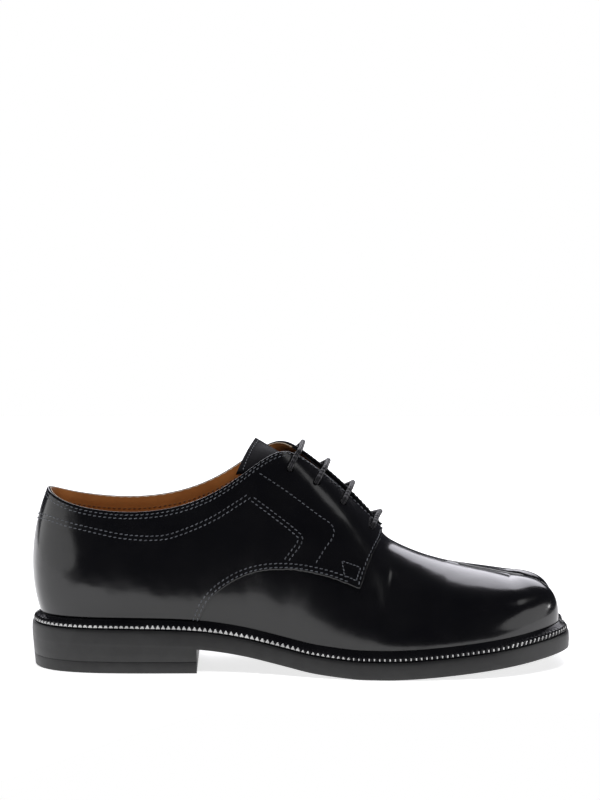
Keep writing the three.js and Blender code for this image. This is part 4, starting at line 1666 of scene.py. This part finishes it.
def make_stage():
    material, tree, shader, place = new_material("floor", (0.8, 0.8, 0.8), 0.85, Emission_Strength=0.75)
    shader.inputs["Emission Color"].default_value = (1.0, 1.0, 1.0, 1.0)
    vary(tree, place, shader.inputs["Roughness"], 3.0, 0.8, 0.9)
    mesh = bpy.data.meshes.new("floor")
    mesh.from_pydata([(x, y, 0) for x, y in FLOOR_OUTLINE], [], [tuple(range(len(FLOOR_OUTLINE)))])
    mesh.materials.append(material)
    floor = add_object("floor", mesh)
    floor.location.z = -0.0003


# Soft light in a direction from the shoe: azimuth from +Y towards +X, and elevation, in degrees
def soft_light(name, azimuth, elevation, distance, size, radiance, color=(1.0, 1.0, 1.0), glossy=True,
               shape="ELLIPSE", roll=0.0):
    data = bpy.data.lights.new(name, "AREA")
    data.shape = shape
    data.size, data.size_y = size
    data.energy = radiance * math.pi * size[0] * size[1]
    data.color = color
    lamp = add_object(name, data)
    a, e = math.radians(azimuth), math.radians(elevation)
    away = Vector((math.sin(a) * math.cos(e), math.cos(a) * math.cos(e), math.sin(e)))
    lamp.location = away * distance + Vector((0.0, 0.0, 0.05))
    turn = (-away).to_track_quat("-Z", "Y") @ Quaternion((0.0, 0.0, 1.0), math.radians(roll))
    lamp.rotation_euler = turn.to_euler()
    lamp.visible_camera = False
    lamp.visible_glossy = glossy


def make_world():
    world_data = bpy.data.worlds.new("studio")
    world_data.use_nodes = True
    tree = world_data.node_tree
    background = tree.nodes["Background"]
    background.inputs["Color"].default_value = (*DARK_ROOM, 1.0)
    background.inputs["Strength"].default_value = 1.0
    pale = node(tree, "ShaderNodeBackground", Color=(1.0, 1.0, 1.0, 1.0), Strength=1.0)
    path = node(tree, "ShaderNodeLightPath")
    mix = node(tree, "ShaderNodeMixShader")
    tree.links.new(path.outputs["Is Camera Ray"], mix.inputs["Fac"])
    tree.links.new(background.outputs[0], mix.inputs[1])
    tree.links.new(pale.outputs[0], mix.inputs[2])
    tree.links.new(mix.outputs[0], tree.nodes["World Output"].inputs["Surface"])
    bpy.context.scene.world = world_data


make_stage()
make_world()
bpy.context.scene.view_settings.view_transform = "Standard"
soft_light("back", 2.0, 35.0, 1.6, (1.7, 1.15), 3.2, (0.94, 0.93, 1.0), shape="RECTANGLE", roll=-30.0)
soft_light("spark", 80.0, 8.0, 1.0, (0.08, 0.08), 12.0)
soft_light("left", -98.0, 3.0, 1.2, (2.6, 0.55), 0.9)
soft_light("right", 110.0, 9.0, 1.0, (1.05, 0.62), 0.9)
soft_light("facing", 96.0, 49.0, 1.5, (0.34, 0.3), 0.9)
soft_light("fill", 172.0, 58.0, 1.6, (0.7, 0.5), 12.0, glossy=False)
